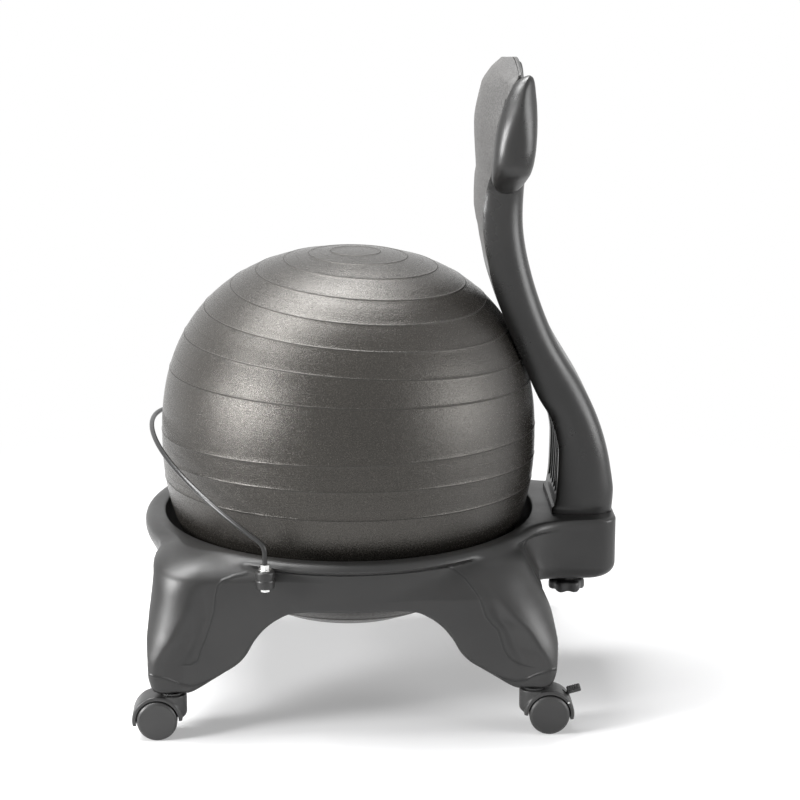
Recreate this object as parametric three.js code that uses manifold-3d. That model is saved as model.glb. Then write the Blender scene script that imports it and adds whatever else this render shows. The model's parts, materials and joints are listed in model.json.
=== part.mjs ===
// Balance ball chair: an inflated ball sits in a moulded tray on four swivel casters.
// A wire bar holds the ball at the front and a moulded backrest stands behind it.
// Millimetres, +Z up. The sitter faces -X. While the pieces are made, the ball's upright
// axis is the Z axis and the floor is Z = 0; the last lines centre the chair on its box.
import * as THREE from 'three';
import { mergeVertices } from 'three/addons/utils/BufferGeometryUtils.js';
import Module from 'manifold-3d';

const wasm = await Module();
wasm.setup();
const { lerp, clamp, smoothstep, degToRad } = THREE.MathUtils;

// Fits and overruns
const runningGap = 0.3;
const seatGap = 0.5;
const cutOverrun = 2;

// Ball
const ballAcross = 471;
const ballRiseShare = 0.4958;
const ballDropShare = 0.5053;
const ballSquareness = 2.3;
const ballCentreAboveTray = 95.5;
const ringHeight = 1;
const ringHalfWidth = 2.4;
const plugDiameter = 9;
const plugHeadDiameter = 13;
const plugHeadThickness = 1.6;
const plugDepth = 14;
const plugAzimuth = 62;
const plugLatitude = 11;

// Tray and legs, one moulding
const trayTop = 224.5;
const lipInset = 0.8;
const lipRound = 3.3;
const rimWidth = 21.3;
const rimRound = 12.5;
const rimDepth = 63.5;
const waistInset = 10;
const noseReach = 5;
const seatInnerShare = 0.7813;
const seatOuterShare = 0.8747;
const holeEdgeWidth = 6;
const holeEdgeDrop = 2;
const trayWall = 4;
const legInset = 2;
const legCornerRadius = 44;
const panelInset = 19;
const shinRound = 30;
const ringBlend = 12;
const blockBlend = 84;
const blockFootBlend = 40;

// Rear block that carries the backrest
const blockRearShare = 1.431;
const blockOverhang = 21;
const blockDepth = 83.5;
const blockBottomRound = 23;
const blockTopRound = 4;
const blockCornerRadius = 22;
const knobSetbackShare = 0.825;
const knobSpacing = 90;

// Lug, retaining bar and its nuts, on both sides
const lugForwardShare = 0.41;
const lugOutShare = 0.9844;
const lugDiameter = 23;
const lugDrop = 5;
const lugHeight = 21.5;
const lugEdge = 2.2;
const lugNeckWidth = 17;
const lugNeckRoot = 4;
const barDiameter = 6;
const barBendHeight = 31;
const barBendReach = 11;
const barStandoff = 14.5;
const barApexAboveCentre = 17;
const barTail = 7.5;
const nutAcrossFlats = 10;
const nutHeight = 5.6;
const lowNutHeight = 4;
const washerDiameter = 15;
const washerThickness = 1.4;

// Backrest
const overallHeight = 795;
const padFootAboveBall = 59;
const stemHalfWidth = 66;
const padCrown = 24;
const topArchDrop = 16;
const creaseInset = 10;
const backEdgeRound = 26;
const slotDepth = 9;
const slotHalfWidth = 5.5;
const slotWallSlope = 3;
const slotSpacing = 19;
const slotCount = 5;
const slotAboveFoot = 21.2;
const slotLength = 106;
const slotEnd = 16;
const wingAbovePadFoot = 21.5;
const wingBelowTop = 12.5;
const wingHalfThickness = 25.6;
const wingHalfWidth = 22.3;
const wingOffset = 82;

// Backrest fixing: threaded insert, screw and hand knob on each side
const insertDiameter = 12;
const insertLength = 22;
const screwDiameter = 8;
const screwGrip = 18;
const screwHoleDiameter = 9;
const knobDiameter = 46;
const knobHeight = 15;
const knobHubDiameter = 24;
const knobHubHeight = 6;
const knobLobes = 6;
const knobLobeDepth = 3;

// Casters: twin wheels under a hood that swivels on a plug-in stem
const casterInset = 34;
const wheelDiameter = 49.2;
const wheelWidth = 16.6;
const wheelPairWidth = 44;
const wheelRimWall = 4.2;
const wheelHubWall = 3.5;
const wheelRecess = 9;
const wheelEdge = 1.6;
const wheelBoreGap = 0.1;
const casterTrail = 18.3;
const axleDiameter = 6;
const axleInset = 5;
const axleBossWall = 5;
const fenderGap = 1.5;
const fenderWall = 4.1;
const hoodWidth = 37;
const hoodSkirtShare = 0.76;
const neckDiameter = 34.5;
const neckSink = 1;
const collarDiameter = 29;
const collarThickness = 2.6;
const hoodToFootGap = 2.7;
const stemDiameter = 11;
const stemLength = 40;
const stemGrip = 12.6;
const socketWall = 1.5;
const socketRimWall = 2;
const socketRimThickness = 1;

// Brake lever on each rear caster
const leverPinDiameter = 2.4;
const leverPinAngle = 34;
const leverWidth = 5.2;
const leverHubDiameter = 6.4;
const leverNeckThickness = 3.6;
const leverNeckLength = 9.5;
const leverNeckAngle = 82;
const pedalLength = 17;
const pedalThickness = 3.6;
const pedalWidth = 18;
const pedalRiseAngle = 15;

// Roundness of turned and swept pieces
const baseFaceSteps = 25;
const ballSegments = 28;
const wheelSegments = 16;
const hoodSegments = 24;
const screwSegments = 12;
const barSides = 8;
const barSteps = 58;
const barArcSteps = 40;
const boreSteps = 6;
const lobeSteps = 6;
const wingSides = 12;
const halvings = 30;
const weldDistance = 0.001;

// Places that several pieces share
const ballHalfAcross = ballAcross / 2;
const ballRise = ballAcross * ballRiseShare;
const ballDrop = ballAcross * ballDropShare;
const ballCentreHeight = trayTop + ballCentreAboveTray;
const lipRadius = ballHalfAcross - lipInset;
const rimRadius = lipRadius + rimWidth;
const waistRadius = rimRadius - waistInset;
const noseRadius = rimRadius + noseReach;
const seatInnerRadius = ballHalfAcross * seatInnerShare;
const seatOuterRadius = ballHalfAcross * seatOuterShare;
const holeRadius = seatInnerRadius - holeEdgeWidth;
const archTop = trayTop - rimDepth;
const legHalfWidth = rimRadius - legInset;
const panelHalfWidth = legHalfWidth - panelInset;
const casterOffset = legHalfWidth - casterInset;
const wheelRadius = wheelDiameter / 2;
const fenderInner = wheelRadius + fenderGap;
const fenderOuter = fenderInner + fenderWall;
const hoodTop = wheelRadius + fenderOuter;
const footHeight = hoodTop + hoodToFootGap;
const legRise = trayTop - footHeight;
const collarTop = footHeight - runningGap;
const neckTop = collarTop - collarThickness - runningGap;
const stemFoot = neckTop - stemGrip;
const blockRear = ballHalfAcross * blockRearShare;
const blockHalfWidth = stemHalfWidth + blockOverhang;
const blockBottom = trayTop - blockDepth;
const knobSetback = blockRear * knobSetbackShare;
const knobY = knobSpacing / 2;
const lugX = -rimRadius * lugForwardShare;
const lugY = rimRadius * lugOutShare;
const lugTop = trayTop - lugDrop;
const lugBottom = lugTop - lugHeight;
const barApexX = -ballHalfAcross - barStandoff;
const barApexHeight = ballCentreHeight + barApexAboveCentre;
const backrestBottom = trayTop + runningGap;
const padFootHeight = ballCentreHeight + ballRise + padFootAboveBall;

const paint = (color, roughness, metalness = 0) => (
  new THREE.MeshStandardMaterial({ color, roughness, metalness })
);
const shellPlastic = () => paint(0x2b2a29, 0.42);
const padPlastic = () => paint(0x3c3b3a, 0.6);
const ballVinyl = () => paint(0x34322f, 0.45);
const casterPlastic = () => paint(0x262626, 0.5);
const plainSteel = () => paint(0xc9cacb, 0.25, 1);
const blackSteel = () => paint(0x171717, 0.35, 0.6);

// A smooth curve through [x, y] pairs in rising x, with no overshoot between them.
function curveThrough(points) {
  const last = points.length - 1;
  const slope = (i) => (points[i + 1][1] - points[i][1]) / (points[i + 1][0] - points[i][0]);
  const tangent = points.map((_, i) => {
    if (i === 0) return slope(0);
    if (i === last) return slope(last - 1);
    const before = slope(i - 1);
    const after = slope(i);
    return before * after <= 0 ? 0 : (2 * before * after) / (before + after);
  });
  return (x) => {
    if (x <= points[0][0]) return points[0][1];
    if (x >= points[last][0]) return points[last][1];
    let i = 0;
    while (x > points[i + 1][0]) i += 1;
    const [x0, y0] = points[i];
    const [x1, y1] = points[i + 1];
    const span = x1 - x0;
    const t = (x - x0) / span;
    const rise = (1 - t) * (1 - t) * (1 + 2 * t) * y0 + t * t * (3 - 2 * t) * y1;
    return rise + span * t * (1 - t) * ((1 - t) * tangent[i] - t * tangent[i + 1]);
  };
}

const scaled = (table, xScale, yScale) => table.map(([x, y]) => [x * xScale, y * yScale]);

function smoothMax(a, b, blend) {
  const overlap = Math.max(blend - Math.abs(a - b), 0) / blend;
  return Math.max(a, b) + (overlap * overlap * blend) / 4;
}

function solidOf(geometry) {
  const bare = geometry.clone();
  bare.deleteAttribute('normal');
  bare.deleteAttribute('uv');
  const merged = mergeVertices(bare, weldDistance);
  return new wasm.Manifold(new wasm.Mesh({
    numProp: 3,
    vertProperties: Float32Array.from(merged.attributes.position.array),
    triVerts: Uint32Array.from(merged.index.array),
  }));
}

function geometryOf(solid) {
  const { vertProperties, triVerts } = solid.getMesh();
  const geometry = new THREE.BufferGeometry();
  geometry.setAttribute('position', new THREE.BufferAttribute(vertProperties, 3));
  geometry.setIndex(new THREE.BufferAttribute(triVerts, 1));
  geometry.computeVertexNormals();
  return geometry;
}

const cut = (body, ...tools) => geometryOf(
  tools.reduce((left, tool) => left.subtract(solidOf(tool)), solidOf(body)),
);
const join = (body, ...more) => geometryOf(
  more.reduce((sum, piece) => sum.add(solidOf(piece)), solidOf(body)),
);

// Rows of points, all of one length, skinned into a closed surface. A row of one point is a
// pole; rows of many points are loops. Flat caps close open ends, unless the rows wrap round.
function skinRows(rows, { wrap = false } = {}) {
  const position = [];
  const index = [];
  const start = [];
  for (const row of rows) {
    start.push(position.length / 3);
    for (const point of row) position.push(point.x, point.y, point.z);
  }
  const bands = wrap ? rows.length : rows.length - 1;
  for (let i = 0; i < bands; i += 1) {
    const j = (i + 1) % rows.length;
    const count = Math.max(rows[i].length, rows[j].length);
    for (let k = 0; k < count; k += 1) {
      const next = (k + 1) % count;
      const low = (n) => start[i] + (rows[i].length === 1 ? 0 : n);
      const high = (n) => start[j] + (rows[j].length === 1 ? 0 : n);
      if (rows[i].length > 1) index.push(low(k), low(next), high(next));
      if (rows[j].length > 1) index.push(low(k), high(next), high(k));
    }
  }
  if (!wrap) {
    if (rows[0].length > 1) capRow(rows[0], start[0], index, false);
    const last = rows.length - 1;
    if (rows[last].length > 1) capRow(rows[last], start[last], index, true);
  }
  const geometry = new THREE.BufferGeometry();
  geometry.setAttribute('position', new THREE.Float32BufferAttribute(position, 3));
  geometry.setIndex(index);
  geometry.computeVertexNormals();
  return geometry;
}

function capRow(row, first, index, up) {
  const outline = row.map((point) => new THREE.Vector2(point.x, point.y));
  for (const [a, b, c] of THREE.ShapeUtils.triangulateShape(outline, [])) {
    if (up) index.push(first + a, first + b, first + c);
    else index.push(first + c, first + b, first + a);
  }
}

const uprightCylinder = (diameter, bottom, top, segments, x = 0, y = 0) => new THREE
  .CylinderGeometry(diameter / 2, diameter / 2, top - bottom, segments)
  .rotateX(Math.PI / 2)
  .translate(x, y, (top + bottom) / 2);
const crossCylinder = (diameter, length, segments, x = 0, z = 0) => new THREE
  .CylinderGeometry(diameter / 2, diameter / 2, length, segments)
  .translate(x, 0, z);
// A turned piece on the Z axis, from [radius, height] pairs.
const turned = (profile, segments) => new THREE
  .LatheGeometry(profile.map(([radius, height]) => new THREE.Vector2(radius, height)), segments)
  .rotateX(Math.PI / 2);

function named(name, geometry, material) {
  const mesh = new THREE.Mesh(geometry, material);
  mesh.name = name;
  return mesh;
}

// Ball
const ballReach = (out, up) => (
  (Math.abs(out) / ballHalfAcross) ** ballSquareness
  + (Math.abs(up) / (up > 0 ? ballRise : ballDrop)) ** ballSquareness
) ** (-1 / ballSquareness);

// The point at this radius on the ball's lower half, moved out along its normal by the gap.
function underBall(radius, gap) {
  const outShare = radius / ballHalfAcross;
  const downShare = (1 - outShare ** ballSquareness) ** (1 / ballSquareness);
  const normal = new THREE.Vector2(
    outShare ** (ballSquareness - 1) / ballHalfAcross,
    -(downShare ** (ballSquareness - 1)) / ballDrop,
  ).normalize();
  return [radius + gap * normal.x, ballCentreHeight - downShare * ballDrop + gap * normal.y];
}

// Raised rings round the ball: latitude, roll about Y and pitch about X, in degrees. The
// blown ball's rings aren't parallel. The band that turns in the tray is left plain.
const ballRings = [
  [-82, 2, 0], [-74, 2, 0], [-65, 1.5, 0], [-56, 1, 0],
  [-12.5, 0.5, -1.5], [-5.3, 0.5, -3], [2.9, -0.5, -2.5], [19.6, 2, -2], [29, 3.9, -1],
  [39, 4.1, 1], [49.4, 4, 3], [57.5, 4.3, 2], [66.5, 4, 1.2], [75, 3.2, 0.4], [82.4, 2.4, -0.4],
];
const ballRowStep = 12;

function ballPoint(latitude, roll, pitch, raise, longitude) {
  const level = Math.cos(degToRad(latitude));
  const direction = new THREE.Vector3(
    level * Math.cos(longitude),
    level * Math.sin(longitude),
    Math.sin(degToRad(latitude)),
  ).applyEuler(new THREE.Euler(degToRad(pitch), degToRad(roll), 0));
  const reach = ballReach(Math.hypot(direction.x, direction.y), direction.z) + raise;
  return direction.multiplyScalar(reach).add(new THREE.Vector3(0, 0, ballCentreHeight));
}

function ballRows() {
  const halfBand = (ringHalfWidth / ballHalfAcross) * (180 / Math.PI);
  const poleLatitude = 90;
  const crests = [[-poleLatitude, 0, 0], ...ballRings, [poleLatitude, 0, 0]];
  const rows = [];
  crests.forEach(([latitude, roll, pitch], i) => {
    const isPole = Math.abs(latitude) === poleLatitude;
    if (isPole) rows.push([latitude, roll, pitch, 0]);
    else {
      rows.push([latitude - halfBand, roll, pitch, 0]);
      rows.push([latitude, roll, pitch, ringHeight]);
      rows.push([latitude + halfBand, roll, pitch, 0]);
    }
    if (i === crests.length - 1) return;
    const next = crests[i + 1];
    const steps = Math.max(Math.round((next[0] - latitude) / ballRowStep), 1);
    for (let s = 1; s < steps; s += 1) {
      rows.push([...[0, 1, 2].map((k) => lerp(crests[i][k], next[k], s / steps)), 0]);
    }
  });
  return rows.map(([latitude, roll, pitch, raise]) => {
    const count = Math.abs(latitude) === poleLatitude ? 1 : ballSegments;
    return Array.from({ length: count }, (_, k) => (
      ballPoint(latitude, roll, pitch, raise, (2 * Math.PI * k) / ballSegments)
    ));
  });
}

// The plug's frame: its +Z points out of the ball at the plug's place.
function plugPlace() {
  const azimuth = degToRad(plugAzimuth);
  const latitude = degToRad(plugLatitude);
  const outward = new THREE.Vector3(
    Math.cos(latitude) * Math.cos(azimuth),
    Math.cos(latitude) * Math.sin(azimuth),
    Math.sin(latitude),
  );
  const turn = new THREE.Quaternion().setFromUnitVectors(new THREE.Vector3(0, 0, 1), outward);
  const chordSag = ballHalfAcross * (1 - Math.cos(Math.PI / ballSegments));
  const reach = ballReach(Math.cos(latitude), Math.sin(latitude)) - chordSag;
  const point = outward.multiplyScalar(reach).add(new THREE.Vector3(0, 0, ballCentreHeight));
  return new THREE.Matrix4().compose(point, turn, new THREE.Vector3(1, 1, 1));
}

const plugProfile = (clearance, proud) => [
  [0, -plugDepth - clearance],
  [plugDiameter / 2 + clearance, -plugDepth - clearance],
  [plugDiameter / 2 + clearance, -plugHeadThickness - clearance],
  [plugHeadDiameter / 2 + clearance, -plugHeadThickness - clearance],
  [plugHeadDiameter / 2 + clearance, proud],
  [0, proud],
];

function makeBall() {
  const place = plugPlace();
  const pocket = turned(plugProfile(runningGap, cutOverrun), screwSegments).applyMatrix4(place);
  const plug = named('ball_plug', turned(plugProfile(0, 0), screwSegments), padPlastic());
  plug.applyMatrix4(place);
  return [named('ball', cut(skinRows(ballRows()), pocket), ballVinyl()), plug];
}

// Base: each upright half-plane through the ball's axis gives one closed section of the
// moulding, from the ball's seat over the rim and down the leg or apron to the underside.
// Height of the arches' soffit against the distance from the middle of a side.
const archShare = [
  [0.24, 1], [0.35, 0.965], [0.43, 0.882], [0.5, 0.765], [0.56, 0.625], [0.61, 0.44],
  [0.66, 0.34], [0.8, 0.2], [0.9, 0.08], [0.945, 0], [1, 0],
];
const archCurve = curveThrough(archShare);
const archHeight = (across) => lerp(footHeight, archTop, archCurve(Math.abs(across) / casterOffset));

// How far the legs reach across and along the chair, as shares of the widest, against the
// share of the leg's height.
const frontAcrossShare = [
  [0, 0.93], [0.027, 0.955], [0.075, 0.972], [0.158, 0.985], [0.265, 0.992], [0.378, 0.99],
  [0.503, 0.98], [0.604, 0.966], [0.705, 0.952], [0.8, 0.938], [0.86, 0.922], [0.9, 0.895],
  [0.943, 0.85], [1, 0.76],
];
const rearAcrossShare = [
  [0, 0.93], [0.027, 0.955], [0.075, 0.972], [0.158, 0.985], [0.265, 0.992], [0.378, 0.988],
  [0.503, 0.975], [0.6, 0.953], [0.7, 0.924], [0.8, 0.888], [0.88, 0.848], [0.94, 0.8], [1, 0.735],
];
const frontAlongShare = [
  [0, 0.93], [0.027, 0.96], [0.068, 0.98], [0.165, 0.992], [0.262, 0.993], [0.358, 0.988],
  [0.502, 0.974], [0.645, 0.957], [0.811, 0.945], [0.9, 0.942], [0.94, 0.925], [0.97, 0.893],
  [1, 0.83],
];
const rearAlongShare = [
  [0, 0.93], [0.027, 0.96], [0.117, 0.984], [0.2, 0.989], [0.322, 0.985], [0.408, 0.976],
  [0.495, 0.959], [0.581, 0.938], [0.667, 0.911], [0.741, 0.886], [0.812, 0.862], [0.88, 0.834],
  [0.94, 0.79], [1, 0.725],
];
const frontAcross = curveThrough(scaled(frontAcrossShare, legRise, legHalfWidth));
const rearAcross = curveThrough(scaled(rearAcrossShare, legRise, legHalfWidth));
const frontAlong = curveThrough(scaled(frontAlongShare, legRise, legHalfWidth));
const rearAlong = curveThrough(scaled(rearAlongShare, legRise, legHalfWidth));

// Where the recessed side panel ends and the shin begins, as shares of the caster offset,
// for front and rear legs against the share of the leg's height.
const frontBeadShare = [
  [0.1, 0.868], [0.256, 0.856], [0.332, 0.838], [0.416, 0.81], [0.522, 0.784], [0.628, 0.761],
  [0.748, 0.75], [0.846, 0.727], [0.889, 0.64], [0.91, 0.54],
];
const rearBeadShare = [
  [0.1, 0.866], [0.2, 0.856], [0.275, 0.84], [0.321, 0.824], [0.46, 0.785], [0.568, 0.727],
  [0.705, 0.686], [0.767, 0.656], [0.828, 0.612], [0.882, 0.558], [0.94, 0.41],
];
const frontBead = curveThrough(scaled(frontBeadShare, legRise, casterOffset));
const rearBead = curveThrough(scaled(rearBeadShare, legRise, casterOffset));
const footRoundShare = [0.1, 0.55];
const noseFaceShare = [0.55, 1];
const noseRollShare = [0.66, 0.9];
const sideRollShare = [0.87, 0.94];

// Distance from the axis to a rounded rectangle in a direction given by two cosines.
function rectangleReach(cosine, sine, halfX, halfY, corner) {
  const c = Math.abs(cosine);
  const s = Math.abs(sine);
  const coreX = halfX - corner;
  const coreY = halfY - corner;
  if (halfX * s <= coreY * c) return halfX / c;
  if (halfY * c <= coreX * s) return halfY / s;
  const along = c * coreX + s * coreY;
  const aside = c * coreY - s * coreX;
  return along + Math.sqrt(corner * corner - aside * aside);
}

function rimReach(azimuth, height) {
  const nose = smoothstep(-Math.cos(azimuth), ...noseFaceShare);
  const widest = lerp(rimRadius, noseRadius, nose);
  const [rollStart, rollEnd] = [0, 1].map((end) => (
    footHeight + legRise * lerp(sideRollShare[end], noseRollShare[end], nose)
  ));
  const bulge = smoothstep(height, rollStart, rollEnd);
  const aboveRound = clamp((height - (trayTop - rimRound)) / rimRound, 0, 1);
  const rounding = rimRound * (1 - Math.sqrt(1 - aboveRound * aboveRound));
  return lerp(waistRadius, widest, bulge) - rounding;
}

function legReach(azimuth, height) {
  const cosine = Math.cos(azimuth);
  const sine = Math.sin(azimuth);
  const rise = height - footHeight;
  const halfX = cosine > 0 ? rearAlong(rise) : frontAlong(rise);
  const halfY = cosine > 0 ? rearAcross(rise) : frontAcross(rise);
  const aboveFoot = smoothstep(rise / legRise, ...footRoundShare);
  const corner = lerp(halfY - casterOffset, legCornerRadius, aboveFoot);
  const leg = rectangleReach(cosine, sine, halfX, halfY, corner);
  const panel = rectangleReach(cosine, sine, panelHalfWidth, panelHalfWidth, legCornerRadius);
  const across = Math.min(Math.abs(cosine), Math.abs(sine)) * panel;
  const bead = cosine > 0 ? rearBead(rise) : frontBead(rise);
  const onShin = smoothstep(across, bead, bead + shinRound);
  return lerp(Math.min(panel, leg), leg, onShin);
}

// How far a quarter round has come in, from its start (0) to its end (1).
const roundInset = (radius, share) => radius * (1 - Math.sqrt(1 - share * share));

function blockReach(azimuth, height) {
  if (Math.cos(azimuth) <= 0 || height < blockBottom) return 0;
  const low = clamp((blockBottom + blockBottomRound - height) / blockBottomRound, 0, 1);
  const high = clamp((height - (trayTop - blockTopRound)) / blockTopRound, 0, 1);
  const inset = roundInset(blockBottomRound, low) + roundInset(blockTopRound, high);
  const halfX = blockRear - inset;
  const halfY = blockHalfWidth - inset;
  return rectangleReach(Math.cos(azimuth), Math.sin(azimuth), halfX, halfY, blockCornerRadius);
}

function skinReach(azimuth, height) {
  const tray = smoothMax(rimReach(azimuth, height), legReach(azimuth, height), ringBlend);
  const blend = lerp(blockFootBlend, blockBlend, smoothstep(height, blockBottom, trayTop - rimRound));
  return smoothMax(tray, blockReach(azimuth, height), blend);
}

function underside(azimuth, radius) {
  const x = radius * Math.cos(azimuth);
  const y = radius * Math.sin(azimuth);
  const arches = Math.max(archHeight(x), archHeight(y));
  const aside = smoothstep(Math.abs(y), blockHalfWidth, blockHalfWidth + blockCornerRadius);
  const underBlock = x > 0 ? 1 - aside : 0;
  const outside = smoothstep(radius, panelHalfWidth - blockBottomRound, panelHalfWidth);
  return lerp(arches, Math.min(arches, blockBottom), underBlock * outside);
}

// The height at which the outer skin meets the underside, found by halving.
function skinFoot(azimuth) {
  let low = footHeight - cutOverrun;
  let high = trayTop - rimRound;
  for (let i = 0; i < halvings; i += 1) {
    const middle = (low + high) / 2;
    if (underside(azimuth, skinReach(azimuth, middle)) > middle) low = middle;
    else high = middle;
  }
  return (low + high) / 2;
}

const rimLevelShare = [0, 0.03, 0.16, 0.42, 1, 1.6, 2.3];
const skinLevelShare = [0.22, 0.46, 0.7, 0.89, 1];
const undersideShare = [0.3, 0.65];
const seatShare = [0, 0.5, 1];
const flareShare = [[0.66, 0.56]];

function baseSection(azimuth) {
  const seat = seatShare.map((share) => (
    underBall(lerp(seatInnerRadius, seatOuterRadius, share), seatGap)
  ));
  const seatTop = seat[seat.length - 1];
  const lip = [lipRadius, trayTop - lipRound];
  const flare = flareShare.map(([out, up]) => [
    lerp(seatTop[0], lip[0], out),
    lerp(seatTop[1], lip[1], up),
  ]);
  const holeTop = underBall(holeRadius, 0)[1] - holeEdgeDrop;
  const rim = rimLevelShare.map((share) => trayTop - rimRound * share);
  const foot = skinFoot(azimuth);
  const rimEnd = rim[rim.length - 1];
  const levels = [...rim, ...skinLevelShare.map((share) => lerp(rimEnd, foot, share))];
  const skin = levels.map((height) => [skinReach(azimuth, height), height]);
  const footReach = skin[skin.length - 1][0];
  const holeFoot = Math.min(underside(azimuth, holeRadius), holeTop - trayWall);
  // Under the rear block the underside stays level as far in as the legs' outline.
  const underBlock = foot > blockBottom - runningGap;
  const belly = undersideShare.map((share) => {
    const onWay = lerp(footReach, holeRadius, share);
    const radius = underBlock ? Math.min(onWay, legHalfWidth) : onWay;
    const slope = lerp(foot, holeFoot, share) + trayWall;
    const level = radius < legHalfWidth ? slope : Math.max(slope, foot);
    return [radius, Math.min(underside(azimuth, radius), level)];
  });
  return [
    [holeRadius, holeFoot],
    [holeRadius, holeTop],
    ...seat,
    ...flare,
    lip,
    [lipRadius + lipRound, trayTop],
    ...skin,
    ...belly,
  ].map(([radius, height]) => (
    new THREE.Vector3(radius * Math.cos(azimuth), radius * Math.sin(azimuth), height)
  ));
}

// Azimuths of the sections: close together over the legs, wide apart over the arches. Each
// pair is a share of a quarter's steps and the share of the quarter that they reach.
const sectionPlaceShare = [[0, 0], [0.1667, 0.2], [0.8333, 0.8], [1, 1]];
const sectionEaseShare = 0.35;

function baseAzimuths() {
  const place = (step) => {
    const next = sectionPlaceShare.findIndex(([low]) => low > step);
    const [stepBefore, placeBefore] = sectionPlaceShare[next - 1];
    const [stepAfter, placeAfter] = sectionPlaceShare[next];
    return lerp(placeBefore, placeAfter, (step - stepBefore) / (stepAfter - stepBefore));
  };
  const eased = (share) => lerp(share, smoothstep(share, 0, 1), sectionEaseShare);
  const azimuths = [];
  for (let quarter = 0; quarter < 4; quarter += 1) {
    for (let i = 0; i < baseFaceSteps; i += 1) {
      azimuths.push((quarter + eased(place(i / baseFaceSteps))) * (Math.PI / 2));
    }
  }
  return azimuths;
}

function lugGeometry(side) {
  const half = lugHeight / 2;
  const middle = lugBottom + half;
  const radius = lugDiameter / 2;
  const boss = turned([
    [0, -half],
    [radius - lugEdge, -half],
    [radius, lugEdge - half],
    [radius, -lugEdge / 2],
    [radius - lugEdge / 2, 0],
    [radius, lugEdge / 2],
    [radius, half - lugEdge],
    [radius - lugEdge, half],
    [0, half],
  ], wheelSegments).translate(lugX, side * lugY, middle);
  const neckRoot = Math.sqrt(rimRadius * rimRadius - lugX * lugX) - lugNeckRoot;
  const neck = new THREE.BoxGeometry(lugNeckWidth, lugY - neckRoot, lugHeight - 2 * lugEdge)
    .translate(lugX, (side * (lugY + neckRoot)) / 2, middle);
  return [boss, neck];
}

const sides = [['near', -1], ['far', 1]];
const barHoleDiameter = barDiameter + 4 * runningGap;
const socketDiameter = stemDiameter + 2 * socketWall;

function makeBase() {
  const moulding = skinRows(baseAzimuths().map(baseSection), { wrap: true });
  const whole = join(moulding, ...sides.flatMap(([, side]) => lugGeometry(side)));
  const barHoles = sides.map(([, side]) => uprightCylinder(
    barHoleDiameter, lugBottom - cutOverrun, lugTop + cutOverrun, screwSegments, lugX, side * lugY,
  ));
  const screwHoles = sides.map(([, side]) => uprightCylinder(
    screwHoleDiameter,
    blockBottom - cutOverrun,
    trayTop + cutOverrun,
    screwSegments,
    knobSetback,
    side * knobY,
  ));
  const socketHoles = corners.map(({ x, y }) => turned([
    [0, -cutOverrun],
    [socketDiameter / 2 + socketRimWall + runningGap, -cutOverrun],
    [socketDiameter / 2 + socketRimWall + runningGap, socketRimThickness + runningGap],
    [socketDiameter / 2 + runningGap, socketRimThickness + runningGap],
    [socketDiameter / 2 + runningGap, stemLength + cutOverrun],
    [0, stemLength + cutOverrun],
  ], screwSegments).translate(x, y, footHeight));
  return named('base_shell', cut(whole, ...barHoles, ...screwHoles, ...socketHoles), shellPlastic());
}

// Retaining bar: two upright ends through the lugs, and one arc in a sloping plane between.
class BarArc extends THREE.Curve {
  constructor() {
    super();
    const run = lugX - barApexX;
    const climb = barApexHeight - (lugTop + barBendHeight);
    this.slope = Math.atan2(climb, run);
    this.depth = Math.hypot(run, climb);
    this.radius = (this.depth ** 2 + lugY ** 2) / (2 * this.depth);
    this.halfAngle = Math.atan2(lugY, this.radius - this.depth);
  }

  getPoint(t, target = new THREE.Vector3()) {
    const angle = lerp(-this.halfAngle, this.halfAngle, t);
    const forward = this.radius * Math.cos(angle) - (this.radius - this.depth);
    return target.set(
      lugX - forward * Math.cos(this.slope),
      this.radius * Math.sin(angle),
      lugTop + barBendHeight + forward * Math.sin(this.slope),
    );
  }
}

function makeBar() {
  const arc = new BarArc();
  const arcLength = 2 * arc.halfAngle * arc.radius;
  const skip = barBendReach / arcLength;
  const route = new THREE.CurvePath();
  const tail = lugBottom - barTail;
  const bendStart = lugTop + barBendHeight - barBendReach;
  const along = Array.from({ length: barArcSteps + 1 }, (_, i) => (
    arc.getPoint(lerp(skip, 1 - skip, i / barArcSteps))
  ));
  const ends = sides.map(([, side]) => ({
    low: new THREE.Vector3(lugX, side * lugY, tail),
    high: new THREE.Vector3(lugX, side * lugY, bendStart),
    corner: new THREE.Vector3(lugX, side * lugY, lugTop + barBendHeight),
  }));
  route.add(new THREE.LineCurve3(ends[0].low, ends[0].high));
  route.add(new THREE.QuadraticBezierCurve3(ends[0].high, ends[0].corner, along[0]));
  route.add(new THREE.CatmullRomCurve3(along));
  route.add(new THREE.QuadraticBezierCurve3(along[along.length - 1], ends[1].corner, ends[1].high));
  route.add(new THREE.LineCurve3(ends[1].high, ends[1].low));
  const section = new THREE.Shape(Array.from({ length: barSides }, (_, i) => {
    const angle = (2 * Math.PI * i) / barSides;
    return new THREE.Vector2(Math.cos(angle), Math.sin(angle)).multiplyScalar(barDiameter / 2);
  }));
  const sweep = { steps: barSteps, extrudePath: route, curveSegments: 1 };
  return named('retaining_bar', new THREE.ExtrudeGeometry(section, sweep), blackSteel());
}

// A flat ring or nut standing on its place: an outline with sides or round, and a bore.
function ringPiece(outerDiameter, boreDiameter, height, outerSides) {
  const outline = new THREE.Shape(Array.from({ length: outerSides }, (_, i) => {
    const angle = (2 * Math.PI * (i + 0.5)) / outerSides;
    return new THREE.Vector2(Math.cos(angle), Math.sin(angle)).multiplyScalar(outerDiameter / 2);
  }));
  outline.holes.push(new THREE.Path().absarc(0, 0, boreDiameter / 2, 0, 2 * Math.PI, true));
  const extrusion = { depth: height, bevelEnabled: false, curveSegments: boreSteps };
  return new THREE.ExtrudeGeometry(outline, extrusion);
}

const nutSides = 6;

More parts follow.
